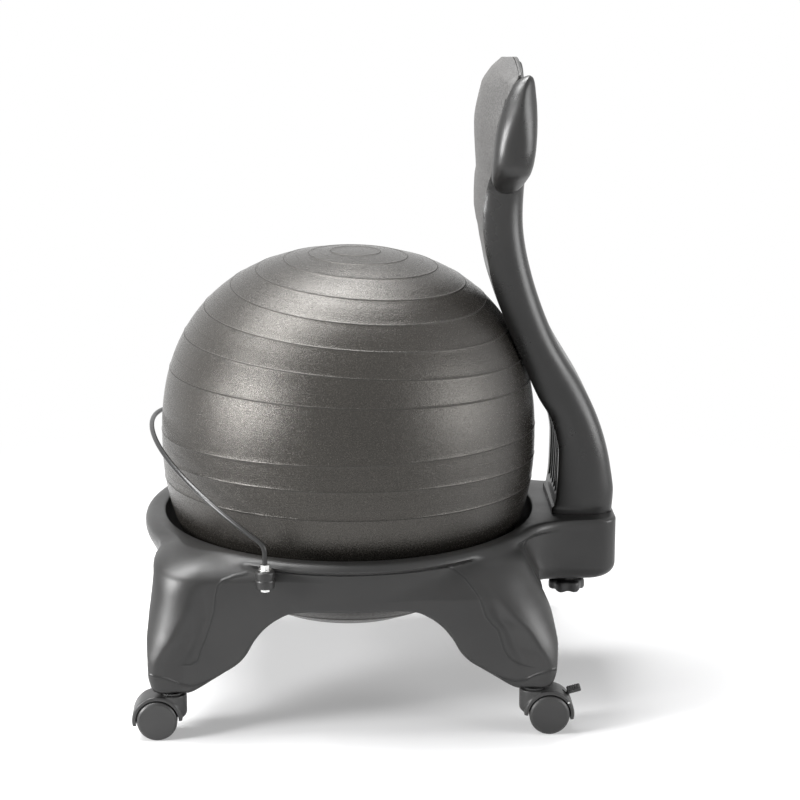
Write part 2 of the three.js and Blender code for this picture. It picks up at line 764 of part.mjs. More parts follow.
function makeBarFixings() {
  const nutAcrossCorners = nutAcrossFlats / Math.cos(Math.PI / nutSides);
  const bore = barDiameter + 2 * runningGap;
  const fixing = (kind, label, side, bottom, geometry) => {
    const piece = named(`bar_${kind}_${label}`, geometry, plainSteel());
    piece.position.set(lugX, side * lugY, bottom);
    return piece;
  };
  const washerRing = () => ringPiece(washerDiameter, bore, washerThickness, screwSegments);
  const nutRing = (height) => ringPiece(nutAcrossCorners, bore, height, nutSides);
  const washerBottom = lugTop + runningGap;
  const upperBottom = washerBottom + washerThickness + runningGap;
  const lowerBottom = lugBottom - runningGap - lowNutHeight;
  return sides.flatMap(([label, side]) => [
    fixing('washer', label, side, washerBottom, washerRing()),
    fixing('upper_nut', label, side, upperBottom, nutRing(nutHeight)),
    fixing('lower_nut', label, side, lowerBottom, nutRing(lowNutHeight)),
  ]);
}

// Backrest: level sections from the deck to the top. Front and back lines are distances
// behind the ball's axis, as shares of the block's rear, against the share of the rise. The
// rise is shared out in two spans: up to the foot of the pad, which stays clear of the ball,
// and from there to the top.
const padFootShare = 0.68;
const frontLineShare = [
  [0, 0.76], [0.012, 0.762], [0.016, 0.771], [0.074, 0.781], [0.138, 0.783], [0.207, 0.76],
  [0.266, 0.704], [0.323, 0.66], [0.425, 0.585], [0.487, 0.547], [0.536, 0.522], [0.598, 0.501],
  [0.652, 0.49], [0.674, 0.49], [0.696, 0.494], [0.749, 0.51], [0.816, 0.523], [0.867, 0.533],
  [0.911, 0.552], [0.954, 0.566], [0.98, 0.573], [1, 0.597],
];
const backLineShare = [
  [0, 0.985], [0.02, 1.003], [0.069, 0.993], [0.138, 0.973], [0.182, 0.952], [0.229, 0.923],
  [0.276, 0.884], [0.325, 0.837], [0.367, 0.79], [0.412, 0.752], [0.457, 0.721], [0.502, 0.694],
  [0.551, 0.67], [0.602, 0.651], [0.64, 0.642], [0.668, 0.64], [0.74, 0.646], [0.8, 0.648],
  [0.88, 0.645], [0.94, 0.64], [0.985, 0.632], [1, 0.62],
];
const halfWidthShare = [
  [0, 1], [0.3, 1], [0.55, 0.947], [0.69, 0.909], [0.72, 0.924], [0.745, 1], [0.77, 1.121],
  [0.8, 1.212], [0.96, 1.212], [0.985, 1.182], [1, 1.121],
];
// Bow of the front face at mid width: hollow on the stem, crowned on the pad.
const bowShare = [
  [0, 0], [0.1, -0.27], [0.25, -0.33], [0.45, -0.3], [0.54, -0.1], [0.57, 0.02], [0.626, 0.07],
  [0.682, 0.29], [0.743, 0.51], [0.816, 0.73], [0.862, 0.89], [0.911, 1.02], [0.948, 0.98],
  [0.978, 0.62], [1, 0.4],
];
const frontLine = curveThrough(frontLineShare);
const backLine = curveThrough(backLineShare);
const halfWidthLine = curveThrough(halfWidthShare);
const bowLine = curveThrough(bowShare);
const backrestLevelShare = [
  0, 0.012, 0.016, 0.038, 0.065, 0.12, 0.195, 0.223, 0.266, 0.323, 0.375, 0.425, 0.487, 0.54, 0.6,
  0.652, 0.69, 0.72, 0.745, 0.77, 0.8, 0.84, 0.875, 0.911, 0.94, 0.96, 0.98, 1,
];
const topArchShare = [0.84, 1];
const sideMiddleShare = 0.45;
const frontEdgeFullness = 1.3;
const backEdgeFullness = 0.87;
const frontEdgeSteps = 3;
const backEdgeSteps = 4;
const backSteps = 4;
const slotHigh = backrestBottom + slotAboveFoot + slotLength;
const slotLow = backrestBottom + slotAboveFoot;

function backrestHeight(share) {
  if (share <= padFootShare) return lerp(backrestBottom, padFootHeight, share / padFootShare);
  return lerp(padFootHeight, overallHeight, (share - padFootShare) / (1 - padFootShare));
}

// Places across the front face, on both lips and both floor edges of every slot.
const slotPlaces = Array.from({ length: slotCount }, (_, i) => {
  const middle = ((slotCount - 1) / 2 - i) * slotSpacing;
  const lip = slotHalfWidth + slotWallSlope / 2;
  const floor = slotHalfWidth - slotWallSlope / 2;
  return [middle + lip, middle + floor, middle - floor, middle - lip];
});

function slotPocket(y, height) {
  const above = smoothstep(height, slotLow, slotLow + slotEnd);
  const below = 1 - smoothstep(height, slotHigh - slotEnd, slotHigh);
  const inSlot = slotPlaces.some((place) => y < place[0] && y > place[place.length - 1]);
  return inSlot ? slotDepth * above * below : 0;
}

function backrestSection(share) {
  const height = backrestHeight(share);
  const half = stemHalfWidth * halfWidthLine(share);
  const front = frontLine(share) * blockRear;
  const back = backLine(share) * blockRear;
  const crown = padCrown * bowLine(share);
  const middle = lerp(front, back, sideMiddleShare);
  const edge = half - creaseInset;
  const backRound = Math.min(backEdgeRound, half / 2);
  const drop = topArchDrop * smoothstep(share, ...topArchShare);
  const footEdge = stemHalfWidth - creaseInset;
  const face = [footEdge, ...slotPlaces.flat(), -footEdge].map((place) => {
    const y = (place * edge) / footEdge;
    return [front - crown * (1 - (y / edge) ** 2) + slotPocket(place, height), y];
  });
  const side = [];
  for (let i = 1; i <= frontEdgeSteps; i += 1) {
    const angle = (Math.PI / 2) * (i / frontEdgeSteps);
    side.push([
      lerp(middle, front, Math.abs(Math.cos(angle)) ** frontEdgeFullness),
      lerp(edge, half, Math.sin(angle) ** frontEdgeFullness),
    ]);
  }
  for (let i = 1; i <= backEdgeSteps; i += 1) {
    const angle = (Math.PI / 2) * (i / backEdgeSteps);
    side.push([
      lerp(middle, back, Math.sin(angle) ** backEdgeFullness),
      half - backRound + backRound * Math.abs(Math.cos(angle)) ** backEdgeFullness,
    ]);
  }
  const rear = [];
  for (let i = 1; i < backSteps; i += 1) {
    rear.push([back, lerp(backRound - half, half - backRound, i / backSteps)]);
  }
  const outline = [
    ...face,
    ...side.map(([x, y]) => [x, -y]),
    ...rear,
    ...side.reverse(),
  ];
  return outline.map(([x, y]) => new THREE.Vector3(x, y, height - drop * (y / wingOffset) ** 2));
}

// Wings: rounded level sections from the lower tip to the upper. Each row holds the share of
// the wing's height, the middle as a share of the block's rear, the half thickness and the
// place across as shares of their largest, and the half width as a share of its largest.
const wingSectionShare = [
  [0, 0.576, 0.2, 0.69, 0.16], [0.04, 0.577, 0.5, 0.72, 0.42], [0.1, 0.58, 0.74, 0.785, 0.67],
  [0.19, 0.587, 0.92, 0.915, 0.9], [0.3, 0.593, 0.988, 0.988, 0.987], [0.46, 0.601, 1, 1, 1],
  [0.63, 0.608, 0.927, 1, 0.978], [0.79, 0.614, 0.77, 1, 0.89], [0.9, 0.618, 0.6, 0.99, 0.75],
  [0.96, 0.623, 0.45, 0.976, 0.54], [0.99, 0.63, 0.24, 0.961, 0.3], [1, 0.634, 0.1, 0.957, 0.13],
];
const wingFullness = 0.93;

function wingGeometry(side) {
  const low = padFootHeight + wingAbovePadFoot;
  const high = overallHeight - wingBelowTop;
  return skinRows(wingSectionShare.map(([up, middle, thickness, across, width]) => (
    Array.from({ length: wingSides }, (_, i) => {
      const angle = (2 * Math.PI * (i + 0.5)) / wingSides;
      const along = Math.sign(Math.cos(angle)) * Math.abs(Math.cos(angle)) ** wingFullness;
      const aside = Math.sign(Math.sin(angle)) * Math.abs(Math.sin(angle)) ** wingFullness;
      return new THREE.Vector3(
        middle * blockRear + thickness * wingHalfThickness * along,
        side * across * wingOffset + width * wingHalfWidth * aside,
        lerp(low, high, up),
      );
    })
  )));
}

function makeBackrest() {
  const stem = skinRows(backrestLevelShare.map(backrestSection));
  const shell = join(stem, ...sides.map(([, side]) => wingGeometry(side)));
  const insertHoles = sides.map(([, side]) => uprightCylinder(
    insertDiameter + 2 * runningGap,
    backrestBottom - cutOverrun,
    backrestBottom + insertLength + cutOverrun,
    screwSegments,
    knobSetback,
    side * knobY,
  ));
  return named('backrest_shell', cut(shell, ...insertHoles), shellPlastic());
}

function knobGeometry() {
  const radiusAt = (angle) => (
    knobDiameter / 2 - (knobLobeDepth / 2) * (1 - Math.cos(knobLobes * angle))
  );
  const steps = knobLobes * lobeSteps;
  const outline = new THREE.Shape(Array.from({ length: steps }, (_, i) => {
    const angle = (2 * Math.PI * i) / steps;
    return new THREE.Vector2(Math.cos(angle), Math.sin(angle)).multiplyScalar(radiusAt(angle));
  }));
  const head = new THREE.ExtrudeGeometry(outline, { depth: knobHeight, bevelEnabled: false });
  const hubTop = knobHeight + knobHubHeight;
  const hub = uprightCylinder(knobHubDiameter, knobHeight - cutOverrun, hubTop, wheelSegments);
  const bore = uprightCylinder(
    screwDiameter + 2 * runningGap, knobHeight / 2 - runningGap, hubTop + cutOverrun, screwSegments,
  );
  return cut(join(head, hub), bore);
}

function makeBackrestFixings() {
  const knobBottom = blockBottom - runningGap - knobHubHeight - knobHeight;
  return sides.map(([label, side]) => {
    const place = new THREE.Group();
    place.position.set(knobSetback, side * knobY, 0);
    const knob = named(`backrest_knob_${label}`, knobGeometry(), casterPlastic());
    knob.position.z = knobBottom;
    const screw = named(`backrest_screw_${label}`, uprightCylinder(
      screwDiameter, knobBottom + knobHeight / 2, backrestBottom + screwGrip, screwSegments,
    ), plainSteel());
    const insertBore = screwDiameter + 2 * runningGap;
    const sleeve = ringPiece(insertDiameter, insertBore, insertLength, screwSegments);
    const insert = named(`backrest_insert_${label}`, sleeve, plainSteel());
    insert.position.z = backrestBottom + runningGap;
    place.add(knob, screw, insert);
    return place;
  });
}

// Casters. In the group's own frame the stem is the Z axis and the wheels trail along +X.
const corners = [
  { name: 'front_near', x: -casterOffset, y: -casterOffset, rear: false },
  { name: 'front_far', x: -casterOffset, y: casterOffset, rear: false },
  { name: 'rear_near', x: casterOffset, y: -casterOffset, rear: true },
  { name: 'rear_far', x: casterOffset, y: casterOffset, rear: true },
];
const webHalf = wheelPairWidth / 2 - wheelWidth - runningGap;
const leverPinRadius = fenderInner + (leverPinDiameter + fenderWall) / 4;
const leverPin = {
  x: casterTrail + leverPinRadius * Math.cos(degToRad(leverPinAngle)),
  z: wheelRadius + leverPinRadius * Math.sin(degToRad(leverPinAngle)),
};
const axleLength = wheelPairWidth - 2 * axleInset;

function wheelGeometry() {
  const bore = axleDiameter / 2 + wheelBoreGap;
  const hub = axleDiameter / 2 + wheelHubWall;
  const boreDepth = axleLength / 2 - webHalf - runningGap;
  return turned([
    [0, boreDepth + runningGap],
    [bore, boreDepth + runningGap],
    [bore, 0],
    [hub, 0],
    [hub, wheelRecess],
    [wheelRadius - wheelRimWall, wheelRecess],
    [wheelRadius - wheelRimWall, 0],
    [wheelRadius, 0],
    [wheelRadius, wheelWidth - wheelEdge],
    [wheelRadius - wheelEdge, wheelWidth],
    [0, wheelWidth],
  ], wheelSegments);
}

function hoodGeometry(rear) {
  const drum = crossCylinder(2 * fenderOuter, hoodWidth, hoodSegments, casterTrail, wheelRadius);
  const neck = uprightCylinder(neckDiameter, wheelRadius - neckSink, neckTop, wheelSegments);
  let hood = solidOf(drum).add(solidOf(neck));
  const sinkDiameter = collarDiameter + 4 * runningGap;
  const sink = uprightCylinder(sinkDiameter, neckTop, hoodTop + cutOverrun, wheelSegments);
  hood = hood.subtract(solidOf(sink));
  for (const side of [-1, 1]) {
    const depth = hoodWidth;
    const wheelRoom = crossCylinder(2 * fenderInner, depth, hoodSegments, casterTrail, wheelRadius)
      .translate(0, side * (webHalf + depth / 2), 0);
    hood = hood.subtract(solidOf(wheelRoom));
  }
  const below = new THREE.BoxGeometry(4 * fenderOuter, 2 * hoodWidth, 2 * fenderOuter)
    .translate(casterTrail, 0, wheelRadius * hoodSkirtShare - fenderOuter);
  const webFoot = crossCylinder(
    axleDiameter + 2 * axleBossWall, 2 * webHalf, wheelSegments, casterTrail, wheelRadius,
  );
  hood = hood.subtract(solidOf(below)).add(solidOf(webFoot));
  const axleHole = crossCylinder(
    axleDiameter + 2 * runningGap, 2 * hoodWidth, screwSegments, casterTrail, wheelRadius,
  );
  const stemHole = uprightCylinder(
    stemDiameter + 2 * runningGap, stemFoot, hoodTop + cutOverrun, screwSegments,
  );
  hood = hood.subtract(solidOf(axleHole)).subtract(solidOf(stemHole));
  if (rear) hood = hood.subtract(solidOf(leverRoom())).subtract(solidOf(leverPinHole()));
  return geometryOf(hood);
}

const leverPinHole = () => crossCylinder(
  leverPinDiameter + 2 * runningGap, 2 * hoodWidth, screwSegments, leverPin.x, leverPin.z,
);

// The slot through the hood in which the lever turns.
function leverRoom() {
  const roomDiameter = leverHubDiameter + 4 * fenderWall;
  return crossCylinder(roomDiameter, leverWidth + 2 * runningGap, wheelSegments, leverPin.x, leverPin.z);
}

function leverGeometry() {
  const hub = crossCylinder(leverHubDiameter, leverWidth, screwSegments);
  const neckAngle = degToRad(leverNeckAngle);
  const neck = new THREE.BoxGeometry(leverNeckLength, leverWidth, leverNeckThickness)
    .translate(leverNeckLength / 2, 0, 0)
    .rotateY(-neckAngle);
  const neckEnd = new THREE.Vector3(leverNeckLength, 0, 0)
    .applyAxisAngle(new THREE.Vector3(0, 1, 0), -neckAngle);
  const pedal = new THREE.BoxGeometry(pedalLength, pedalWidth, pedalThickness)
    .translate(pedalLength / 2 - leverNeckThickness / 2, 0, 0)
    .rotateY(-degToRad(pedalRiseAngle))
    .translate(neckEnd.x, 0, neckEnd.z);
  const bore = crossCylinder(leverPinDiameter + 2 * runningGap, 2 * pedalWidth, screwSegments);
  return cut(join(hub, neck, pedal), bore);
}

function makeCaster({ name, x, y, rear }) {
  const caster = new THREE.Group();
  caster.position.set(x, y, 0);
  caster.rotation.z = rear ? 0 : Math.PI;
  const tag = `caster_${name}`;
  const socket = named(`${tag}_socket`, turned([
    [stemDiameter / 2 + runningGap, 0],
    [socketDiameter / 2 + socketRimWall, 0],
    [socketDiameter / 2 + socketRimWall, socketRimThickness],
    [socketDiameter / 2, socketRimThickness],
    [socketDiameter / 2, stemLength],
    [stemDiameter / 2 + runningGap, stemLength],
    [stemDiameter / 2 + runningGap, 0],
  ], screwSegments), plainSteel());
  socket.position.z = footHeight;
  const stem = named(`${tag}_stem`, turned([
    [0, stemFoot + runningGap],
    [stemDiameter / 2, stemFoot + runningGap],
    [stemDiameter / 2, collarTop - collarThickness],
    [collarDiameter / 2, collarTop - collarThickness],
    [collarDiameter / 2, collarTop],
    [stemDiameter / 2, collarTop],
    [stemDiameter / 2, footHeight + stemLength - cutOverrun],
    [0, footHeight + stemLength - cutOverrun],
  ], wheelSegments), blackSteel());
  const hood = named(`${tag}_hood`, hoodGeometry(rear), casterPlastic());
  const axle = named(`${tag}_axle`, crossCylinder(axleDiameter, axleLength, screwSegments), plainSteel());
  axle.position.set(casterTrail, 0, wheelRadius);
  caster.add(socket, stem, hood, axle);
  for (const [label, side] of [['left', 1], ['right', -1]]) {
    const wheel = named(`${tag}_wheel_${label}`, wheelGeometry(), casterPlastic());
    wheel.rotation.x = side > 0 ? -Math.PI / 2 : Math.PI / 2;
    wheel.position.set(casterTrail, side * (webHalf + runningGap), wheelRadius);
    caster.add(wheel);
  }
  if (rear) {
    const lever = named(`${tag}_brake_lever`, leverGeometry(), casterPlastic());
    lever.position.set(leverPin.x, 0, leverPin.z);
    const pinRod = crossCylinder(leverPinDiameter, hoodWidth, screwSegments);
    const pin = named(`${tag}_brake_pin`, pinRod, plainSteel());
    pin.position.set(leverPin.x, 0, leverPin.z);
    caster.add(lever, pin);
  }
  return caster;
}

const chair = new THREE.Group();
chair.add(makeBase(), ...makeBall(), makeBar(), ...makeBarFixings());
chair.add(makeBackrest(), ...makeBackrestFixings());
chair.add(...corners.map(makeCaster));

// Centre the chair over its bounding box, standing on Z = 0.
chair.updateMatrixWorld(true);
const bounds = new THREE.Box3().setFromObject(chair, true);
const centre = bounds.getCenter(new THREE.Vector3());
chair.position.set(-centre.x, -centre.y, -bounds.min.z);
chair.updateMatrixWorld(true);

export default chair;
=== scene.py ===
"""Balance ball chair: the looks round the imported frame. Metres, +Z up, the sitter faces -X."""

import json
import math

import bpy
import numpy as np
from mathutils import Matrix, Vector


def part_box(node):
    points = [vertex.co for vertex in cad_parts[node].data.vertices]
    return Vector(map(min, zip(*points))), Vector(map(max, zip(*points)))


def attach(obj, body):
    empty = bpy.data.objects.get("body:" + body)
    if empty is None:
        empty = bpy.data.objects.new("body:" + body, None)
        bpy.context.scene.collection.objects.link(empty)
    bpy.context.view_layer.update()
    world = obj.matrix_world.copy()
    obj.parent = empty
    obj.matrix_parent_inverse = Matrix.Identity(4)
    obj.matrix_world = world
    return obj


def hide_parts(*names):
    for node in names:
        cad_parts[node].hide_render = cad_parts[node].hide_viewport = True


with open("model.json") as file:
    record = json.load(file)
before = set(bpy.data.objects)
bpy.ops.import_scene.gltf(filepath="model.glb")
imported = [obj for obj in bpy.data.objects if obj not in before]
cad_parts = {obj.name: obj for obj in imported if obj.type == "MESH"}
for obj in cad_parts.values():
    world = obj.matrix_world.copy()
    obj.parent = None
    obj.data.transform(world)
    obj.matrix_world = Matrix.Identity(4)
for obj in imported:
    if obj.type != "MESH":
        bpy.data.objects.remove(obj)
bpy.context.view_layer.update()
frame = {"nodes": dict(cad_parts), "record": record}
MM = 0.001
NODES = frame["nodes"]
CORNERS = ("front_near", "front_far", "rear_near", "rear_far")
SIDES = (("near", -1), ("far", 1))


def box_mm(node):
    low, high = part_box(node)
    return np.array(low) / MM, np.array(high) / MM


def middle_mm(node):
    low, high = box_mm(node)
    return (low + high) / 2


# The ball's upright axis stands midway between the four caster sockets.
axis_x = sum(middle_mm(f"caster_{c}_socket")[0] for c in CORNERS) / len(CORNERS)


# Camera: the photograph's place and lens, the lens as a share of the sensor's width
CAMERA_MM = (-54.566 + axis_x, -2906.325, 1124.237)
CAMERA_AZIMUTH = 2.37
CAMERA_ELEVATION = 14.71
LENS_SHARE = 2.9453


def add_camera():
    azimuth = math.radians(CAMERA_AZIMUTH)
    elevation = math.radians(CAMERA_ELEVATION)
    back = Vector((
        -math.sin(azimuth) * math.cos(elevation),
        -math.cos(azimuth) * math.cos(elevation),
        math.sin(elevation),
    ))
    right = Vector((math.cos(azimuth), -math.sin(azimuth), 0))
    up = back.cross(right)
    data = bpy.data.cameras.new("photo_camera")
    data.sensor_width = 36
    data.lens = LENS_SHARE * data.sensor_width
    data.clip_end = 100
    camera = bpy.data.objects.new("photo_camera", data)
    turn = Matrix((right, up, back)).transposed()
    camera.matrix_world = Matrix.Translation(Vector(CAMERA_MM) * MM) @ turn.to_4x4()
    bpy.context.scene.collection.objects.link(camera)
    bpy.context.scene.camera = camera


add_camera()


# Small helpers for shapes
def curve_through(points):
    """A smooth curve through (x, y) pairs in rising x, with no overshoot between them."""
    xs = np.array([p[0] for p in points], float)
    ys = np.array([p[1] for p in points], float)
    slopes = np.diff(ys) / np.diff(xs)
    tangents = np.empty(len(xs))
    tangents[0], tangents[-1] = slopes[0], slopes[-1]
    before, after = slopes[:-1], slopes[1:]
    both = before * after > 0
    total = np.where(both, before + after, 1)
    tangents[1:-1] = np.where(both, 2 * before * after / total, 0)

    def curve(x):
        x = np.clip(x, xs[0], xs[-1])
        i = np.clip(np.searchsorted(xs, x) - 1, 0, len(xs) - 2)
        span = xs[i + 1] - xs[i]
        t = (x - xs[i]) / span
        rise = (1 - t) ** 2 * (1 + 2 * t) * ys[i] + t * t * (3 - 2 * t) * ys[i + 1]
        return rise + span * t * (1 - t) * ((1 - t) * tangents[i] - t * tangents[i + 1])

    return curve


def smoothstep(x, low, high):
    t = np.clip((np.asarray(x, float) - low) / (high - low), 0, 1)
    return t * t * (3 - 2 * t)


def lerp(a, b, t):
    return a + (b - a) * t


def smooth_max(a, b, blend):
    overlap = np.maximum(blend - np.abs(a - b), 0) / blend
    return np.maximum(a, b) + overlap ** 2 * blend / 4


def mesh_object(name, points_mm, faces, smooth=True, edges=()):
    mesh = bpy.data.meshes.new(name)
    mesh.from_pydata((np.asarray(points_mm) * MM).tolist(), edges, faces)
    mesh.validate()
    if smooth:
        mesh.shade_smooth()
    thing = bpy.data.objects.new(name, mesh)
    bpy.context.scene.collection.objects.link(thing)
    return thing


def shift_mm(x, y, z):
    return Matrix.Translation(Vector((x, y, z)) * MM)


def shaded(thing, sharp_angle):
    """Smooth shading, with an edge kept sharp where the skin turns by more than an angle."""
    thing.data.shade_smooth()
    thing.data.set_sharp_from_angle(angle=math.radians(sharp_angle))


def places_mm(thing):
    """Each point's distance behind the ball's axis, its place across and its height."""
    points = np.empty(len(thing.data.vertices) * 3)
    thing.data.vertices.foreach_get("co", points)
    x, y, height = (points.reshape(-1, 3) / MM).T
    return x - axis_x, y, height


def write_values(thing, name, values):
    layer = thing.data.attributes.new(name, "FLOAT", "POINT")
    layer.data.foreach_set("value", np.asarray(values, np.float32))


def grid_faces(rows, columns, wrap_rows=False):
    """Faces of a grid whose columns wrap round; its rows may wrap round too."""
    faces = []
    for i in range(rows if wrap_rows else rows - 1):
        j = (i + 1) % rows
        for k in range(columns):
            n = (k + 1) % columns
            faces.append((i * columns + k, i * columns + n, j * columns + n, j * columns + k))
    return faces


def turned_points(profile, count):
    """A profile of (radius, height) pairs turned round Z; its ends may lie on the axis."""
    angles = np.linspace(0, 2 * math.pi, count, endpoint=False)
    points, starts = [], []
    for radius, height in profile:
        starts.append(len(points))
        if radius <= 0:
            points.append((0, 0, height))
        else:
            points += [(radius * math.cos(a), radius * math.sin(a), height) for a in angles]
    faces = []
    for i in range(len(profile) - 1):
        for k in range(count):
            n = (k + 1) % count
            low, high = profile[i][0] > 0, profile[i + 1][0] > 0
            a = starts[i] + (k if low else 0)
            b = starts[i] + (n if low else 0)
            c = starts[i + 1] + (n if high else 0)
            d = starts[i + 1] + (k if high else 0)
            if low and high:
                faces.append((a, b, c, d))
            elif high:
                faces.append((a, c, d))
            elif low:
                faces.append((a, b, d))
    return np.array(points, float), faces


def rounded_profile(corners, steps=4):
    """(radius, height, rounding) corners of a profile, each rounded off by an arc."""
    points = []
    count = len(corners)
    for i, (x, y, rounding) in enumerate(corners):
        if rounding <= 0 or i in (0, count - 1):
            points.append((x, y))
            continue
        here = Vector((x, y))
        before = Vector(corners[i - 1][:2]) - here
        after = Vector(corners[i + 1][:2]) - here
        reach = min(rounding, before.length * 0.49, after.length * 0.49)
        start = here + before.normalized() * reach
        end = here + after.normalized() * reach
        for s in range(steps + 1):
            t = s / steps
            point = start * (1 - t) ** 2 + here * 2 * t * (1 - t) + end * t * t
            points.append((point.x, point.y))
    return points


ROUND_STEPS = 72


def turned_piece(name, profile, count=ROUND_STEPS):
    return mesh_object(name, *turned_points(profile, count))


def upright_rod(name, radius, low, high, rounding=0, count=ROUND_STEPS):
    corners = [(0, low, 0), (radius, low, rounding), (radius, high, rounding), (0, high, 0)]
    return turned_piece(name, rounded_profile(corners), count)


def slab(name, length, width, height, rounding, place=(0, 0, 0), turn=0):
    """A rounded slab: its outline drawn corner by corner, with a rounded edge above and below."""
    outline = []
    for quarter in range(4):
        middle_x = (length / 2 - rounding) * (1 if quarter in (0, 3) else -1)
        middle_y = (width / 2 - rounding) * (1 if quarter in (0, 1) else -1)
        for a in np.radians(np.linspace(0, 90, 6) + 90 * quarter):
            outline.append((middle_x, middle_y, math.cos(a), math.sin(a)))
    edge = min(rounding, height / 2) * 0.6
    levels = (
        (-height / 2, edge), (-height / 2 + edge * 0.3, edge * 0.3), (-height / 2 + edge, 0),
        (height / 2 - edge, 0), (height / 2 - edge * 0.3, edge * 0.3), (height / 2, edge),
    )
    rows = []
    for level, inset in levels:
        reach = rounding - inset
        rows.append([(x + reach * c, y + reach * s, level) for x, y, c, s in outline])
    piece = lofted(name, rows)
    piece.data.transform(shift_mm(*place) @ Matrix.Rotation(-math.radians(turn), 4, "Y"))
    return piece


def lofted(name, rows):
    """A closed skin over rows of equal length, with a flat-wound cap at each end."""
    columns = len(rows[0])
    points = np.array(rows).reshape(-1, 3)
    faces = grid_faces(len(rows), columns)
    last = (len(rows) - 1) * columns
    faces.append(tuple(range(columns))[::-1])
    faces.append(tuple(last + k for k in range(columns)))
    return mesh_object(name, points, faces)


def settled(thing):
    """Keeps the mesh that an object's modifiers make of it, and removes the modifiers."""
    bpy.context.view_layer.update()
    graph = bpy.context.evaluated_depsgraph_get()
    mesh = bpy.data.meshes.new_from_object(thing.evaluated_get(graph))
    thing.modifiers.clear()
    thing.data = mesh


def combined(thing, others, operation):
    for other in others:
        step = thing.modifiers.new(operation.lower(), "BOOLEAN")
        step.operation = operation
        step.solver = "EXACT"
        step.object = other
    settled(thing)
    for other in others:
        bpy.data.objects.remove(other)
    return thing


def joined(thing, *others):
    """Unites closed shapes in one skin and removes the ones that were added."""
    return combined(thing, others, "UNION")


def cut_from(thing, *others):
    """Cuts closed shapes out of a skin and removes them."""
    return combined(thing, others, "DIFFERENCE")


def dress(thing, body, material, slot, *nodes):
    """Gives a finished piece its material and its body, and hides the nodes it stands for; its slot is not
    used.
    """
    thing.data.materials.clear()
    thing.data.materials.append(material)
    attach(thing, body)
    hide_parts(*nodes)


# Materials
# Painted shade: near-black that darkens the inside of each sunk line on the base
SUNK_LINE_SHADE = (0.001, 0.001, 0.001)
LINE_SHOULDER = 2.2
FACE_DARK = (0.05, 0.0485, 0.047)
FACE_LIGHT = (0.094, 0.092, 0.09)
FACE_ROUGHNESS = 0.5
FACE_DOT_DEPTH = 0.0004


def new_material(name):
    material = bpy.data.materials.new(name)
    material.use_nodes = True
    tree = material.node_tree
    tree.nodes.clear()
    out = tree.nodes.new("ShaderNodeOutputMaterial")
    shader = tree.nodes.new("ShaderNodeBsdfPrincipled")
    tree.links.new(shader.outputs["BSDF"], out.inputs["Surface"])
    return material, tree, shader


def math_node(tree, operation, *values):
    """A sum on sockets; each value is a socket to read, or a number set on the node itself."""
    node = tree.nodes.new("ShaderNodeMath")
    node.operation = operation
    for socket, value in zip(node.inputs, values):
        if isinstance(value, bpy.types.NodeSocket):
            tree.links.new(value, socket)
        else:
            socket.default_value = value
    return node.outputs[0]


def attribute_node(tree, name):
    node = tree.nodes.new("ShaderNodeAttribute")
    node.attribute_name = name
    return node.outputs["Fac"]


def noise_node(tree, scale, detail, roughness, stretch=(1, 1, 1)):
    place = tree.nodes.new("ShaderNodeTexCoord")
    noise = tree.nodes.new("ShaderNodeTexNoise")
    noise.inputs["Scale"].default_value = scale
    noise.inputs["Detail"].default_value = detail
    noise.inputs["Roughness"].default_value = roughness
    mapping = tree.nodes.new("ShaderNodeMapping")
    mapping.inputs["Scale"].default_value = stretch
    tree.links.new(place.outputs["Object"], mapping.inputs["Vector"])
    tree.links.new(mapping.outputs["Vector"], noise.inputs["Vector"])
    return noise.outputs["Fac"]


def ramp_between(tree, source, low, high, start=0.35, end=0.65):
    """A value that runs from low to high as the source runs from start to end."""
    ramp = tree.nodes.new("ShaderNodeMapRange")
    ramp.inputs["From Min"].default_value = start
    ramp.inputs["From Max"].default_value = end
    ramp.inputs["To Min"].default_value = low
    ramp.inputs["To Max"].default_value = high
    tree.links.new(source, ramp.inputs["Value"])
    return ramp.outputs["Result"]


def colour_between(tree, factor, dark, light):
    """A mix of two colours; the first may be a colour or a socket."""
    mix = tree.nodes.new("ShaderNodeMix")
    mix.data_type = "RGBA"
    if isinstance(dark, bpy.types.NodeSocket):
        tree.links.new(dark, mix.inputs["A"])
    else:
        mix.inputs["A"].default_value = (*dark, 1)
    mix.inputs["B"].default_value = (*light, 1)
    tree.links.new(factor, mix.inputs["Factor"])
    return mix.outputs["Result"]


def bump_node(tree, height, distance, under=None):
    bump = tree.nodes.new("ShaderNodeBump")
    bump.inputs["Distance"].default_value = distance
    tree.links.new(height, bump.inputs["Height"])
    if under is not None:
        tree.links.new(under, bump.inputs["Normal"])
    return bump.outputs["Normal"]


def grained_plastic(name, dark, light, gloss, grain_scale, grain_depth):
    """Moulded plastic: a slow change of tone, patchy gloss and a fine grain."""
    material, tree, shader = new_material(name)
    tone = noise_node(tree, 9, 4, 0.6)
    factor = ramp_between(tree, tone, 0, 1)
    tree.links.new(colour_between(tree, factor, dark, light), shader.inputs["Base Color"])
    patch = noise_node(tree, 14, 5, 0.65)
    rough = ramp_between(tree, patch, gloss - 0.05, gloss + 0.05)
    tree.links.new(rough, shader.inputs["Roughness"])
    grain = noise_node(tree, grain_scale, 3, 0.7)
    tree.links.new(bump_node(tree, grain, grain_depth), shader.inputs["Normal"])
    return material


def near_line(tree, name, inner, outer, shift=0.0, strength=None):
    """1 on a line that a point attribute measures in mm, running out to 0 beside it."""
    moved = math_node(tree, "ADD", attribute_node(tree, name), shift)
    size = math_node(tree, "ABSOLUTE", moved)
    line = ramp_between(tree, size, 1, 0, inner, outer)
    if strength is None:
        return line
    return math_node(tree, "MULTIPLY", line, attribute_node(tree, strength))


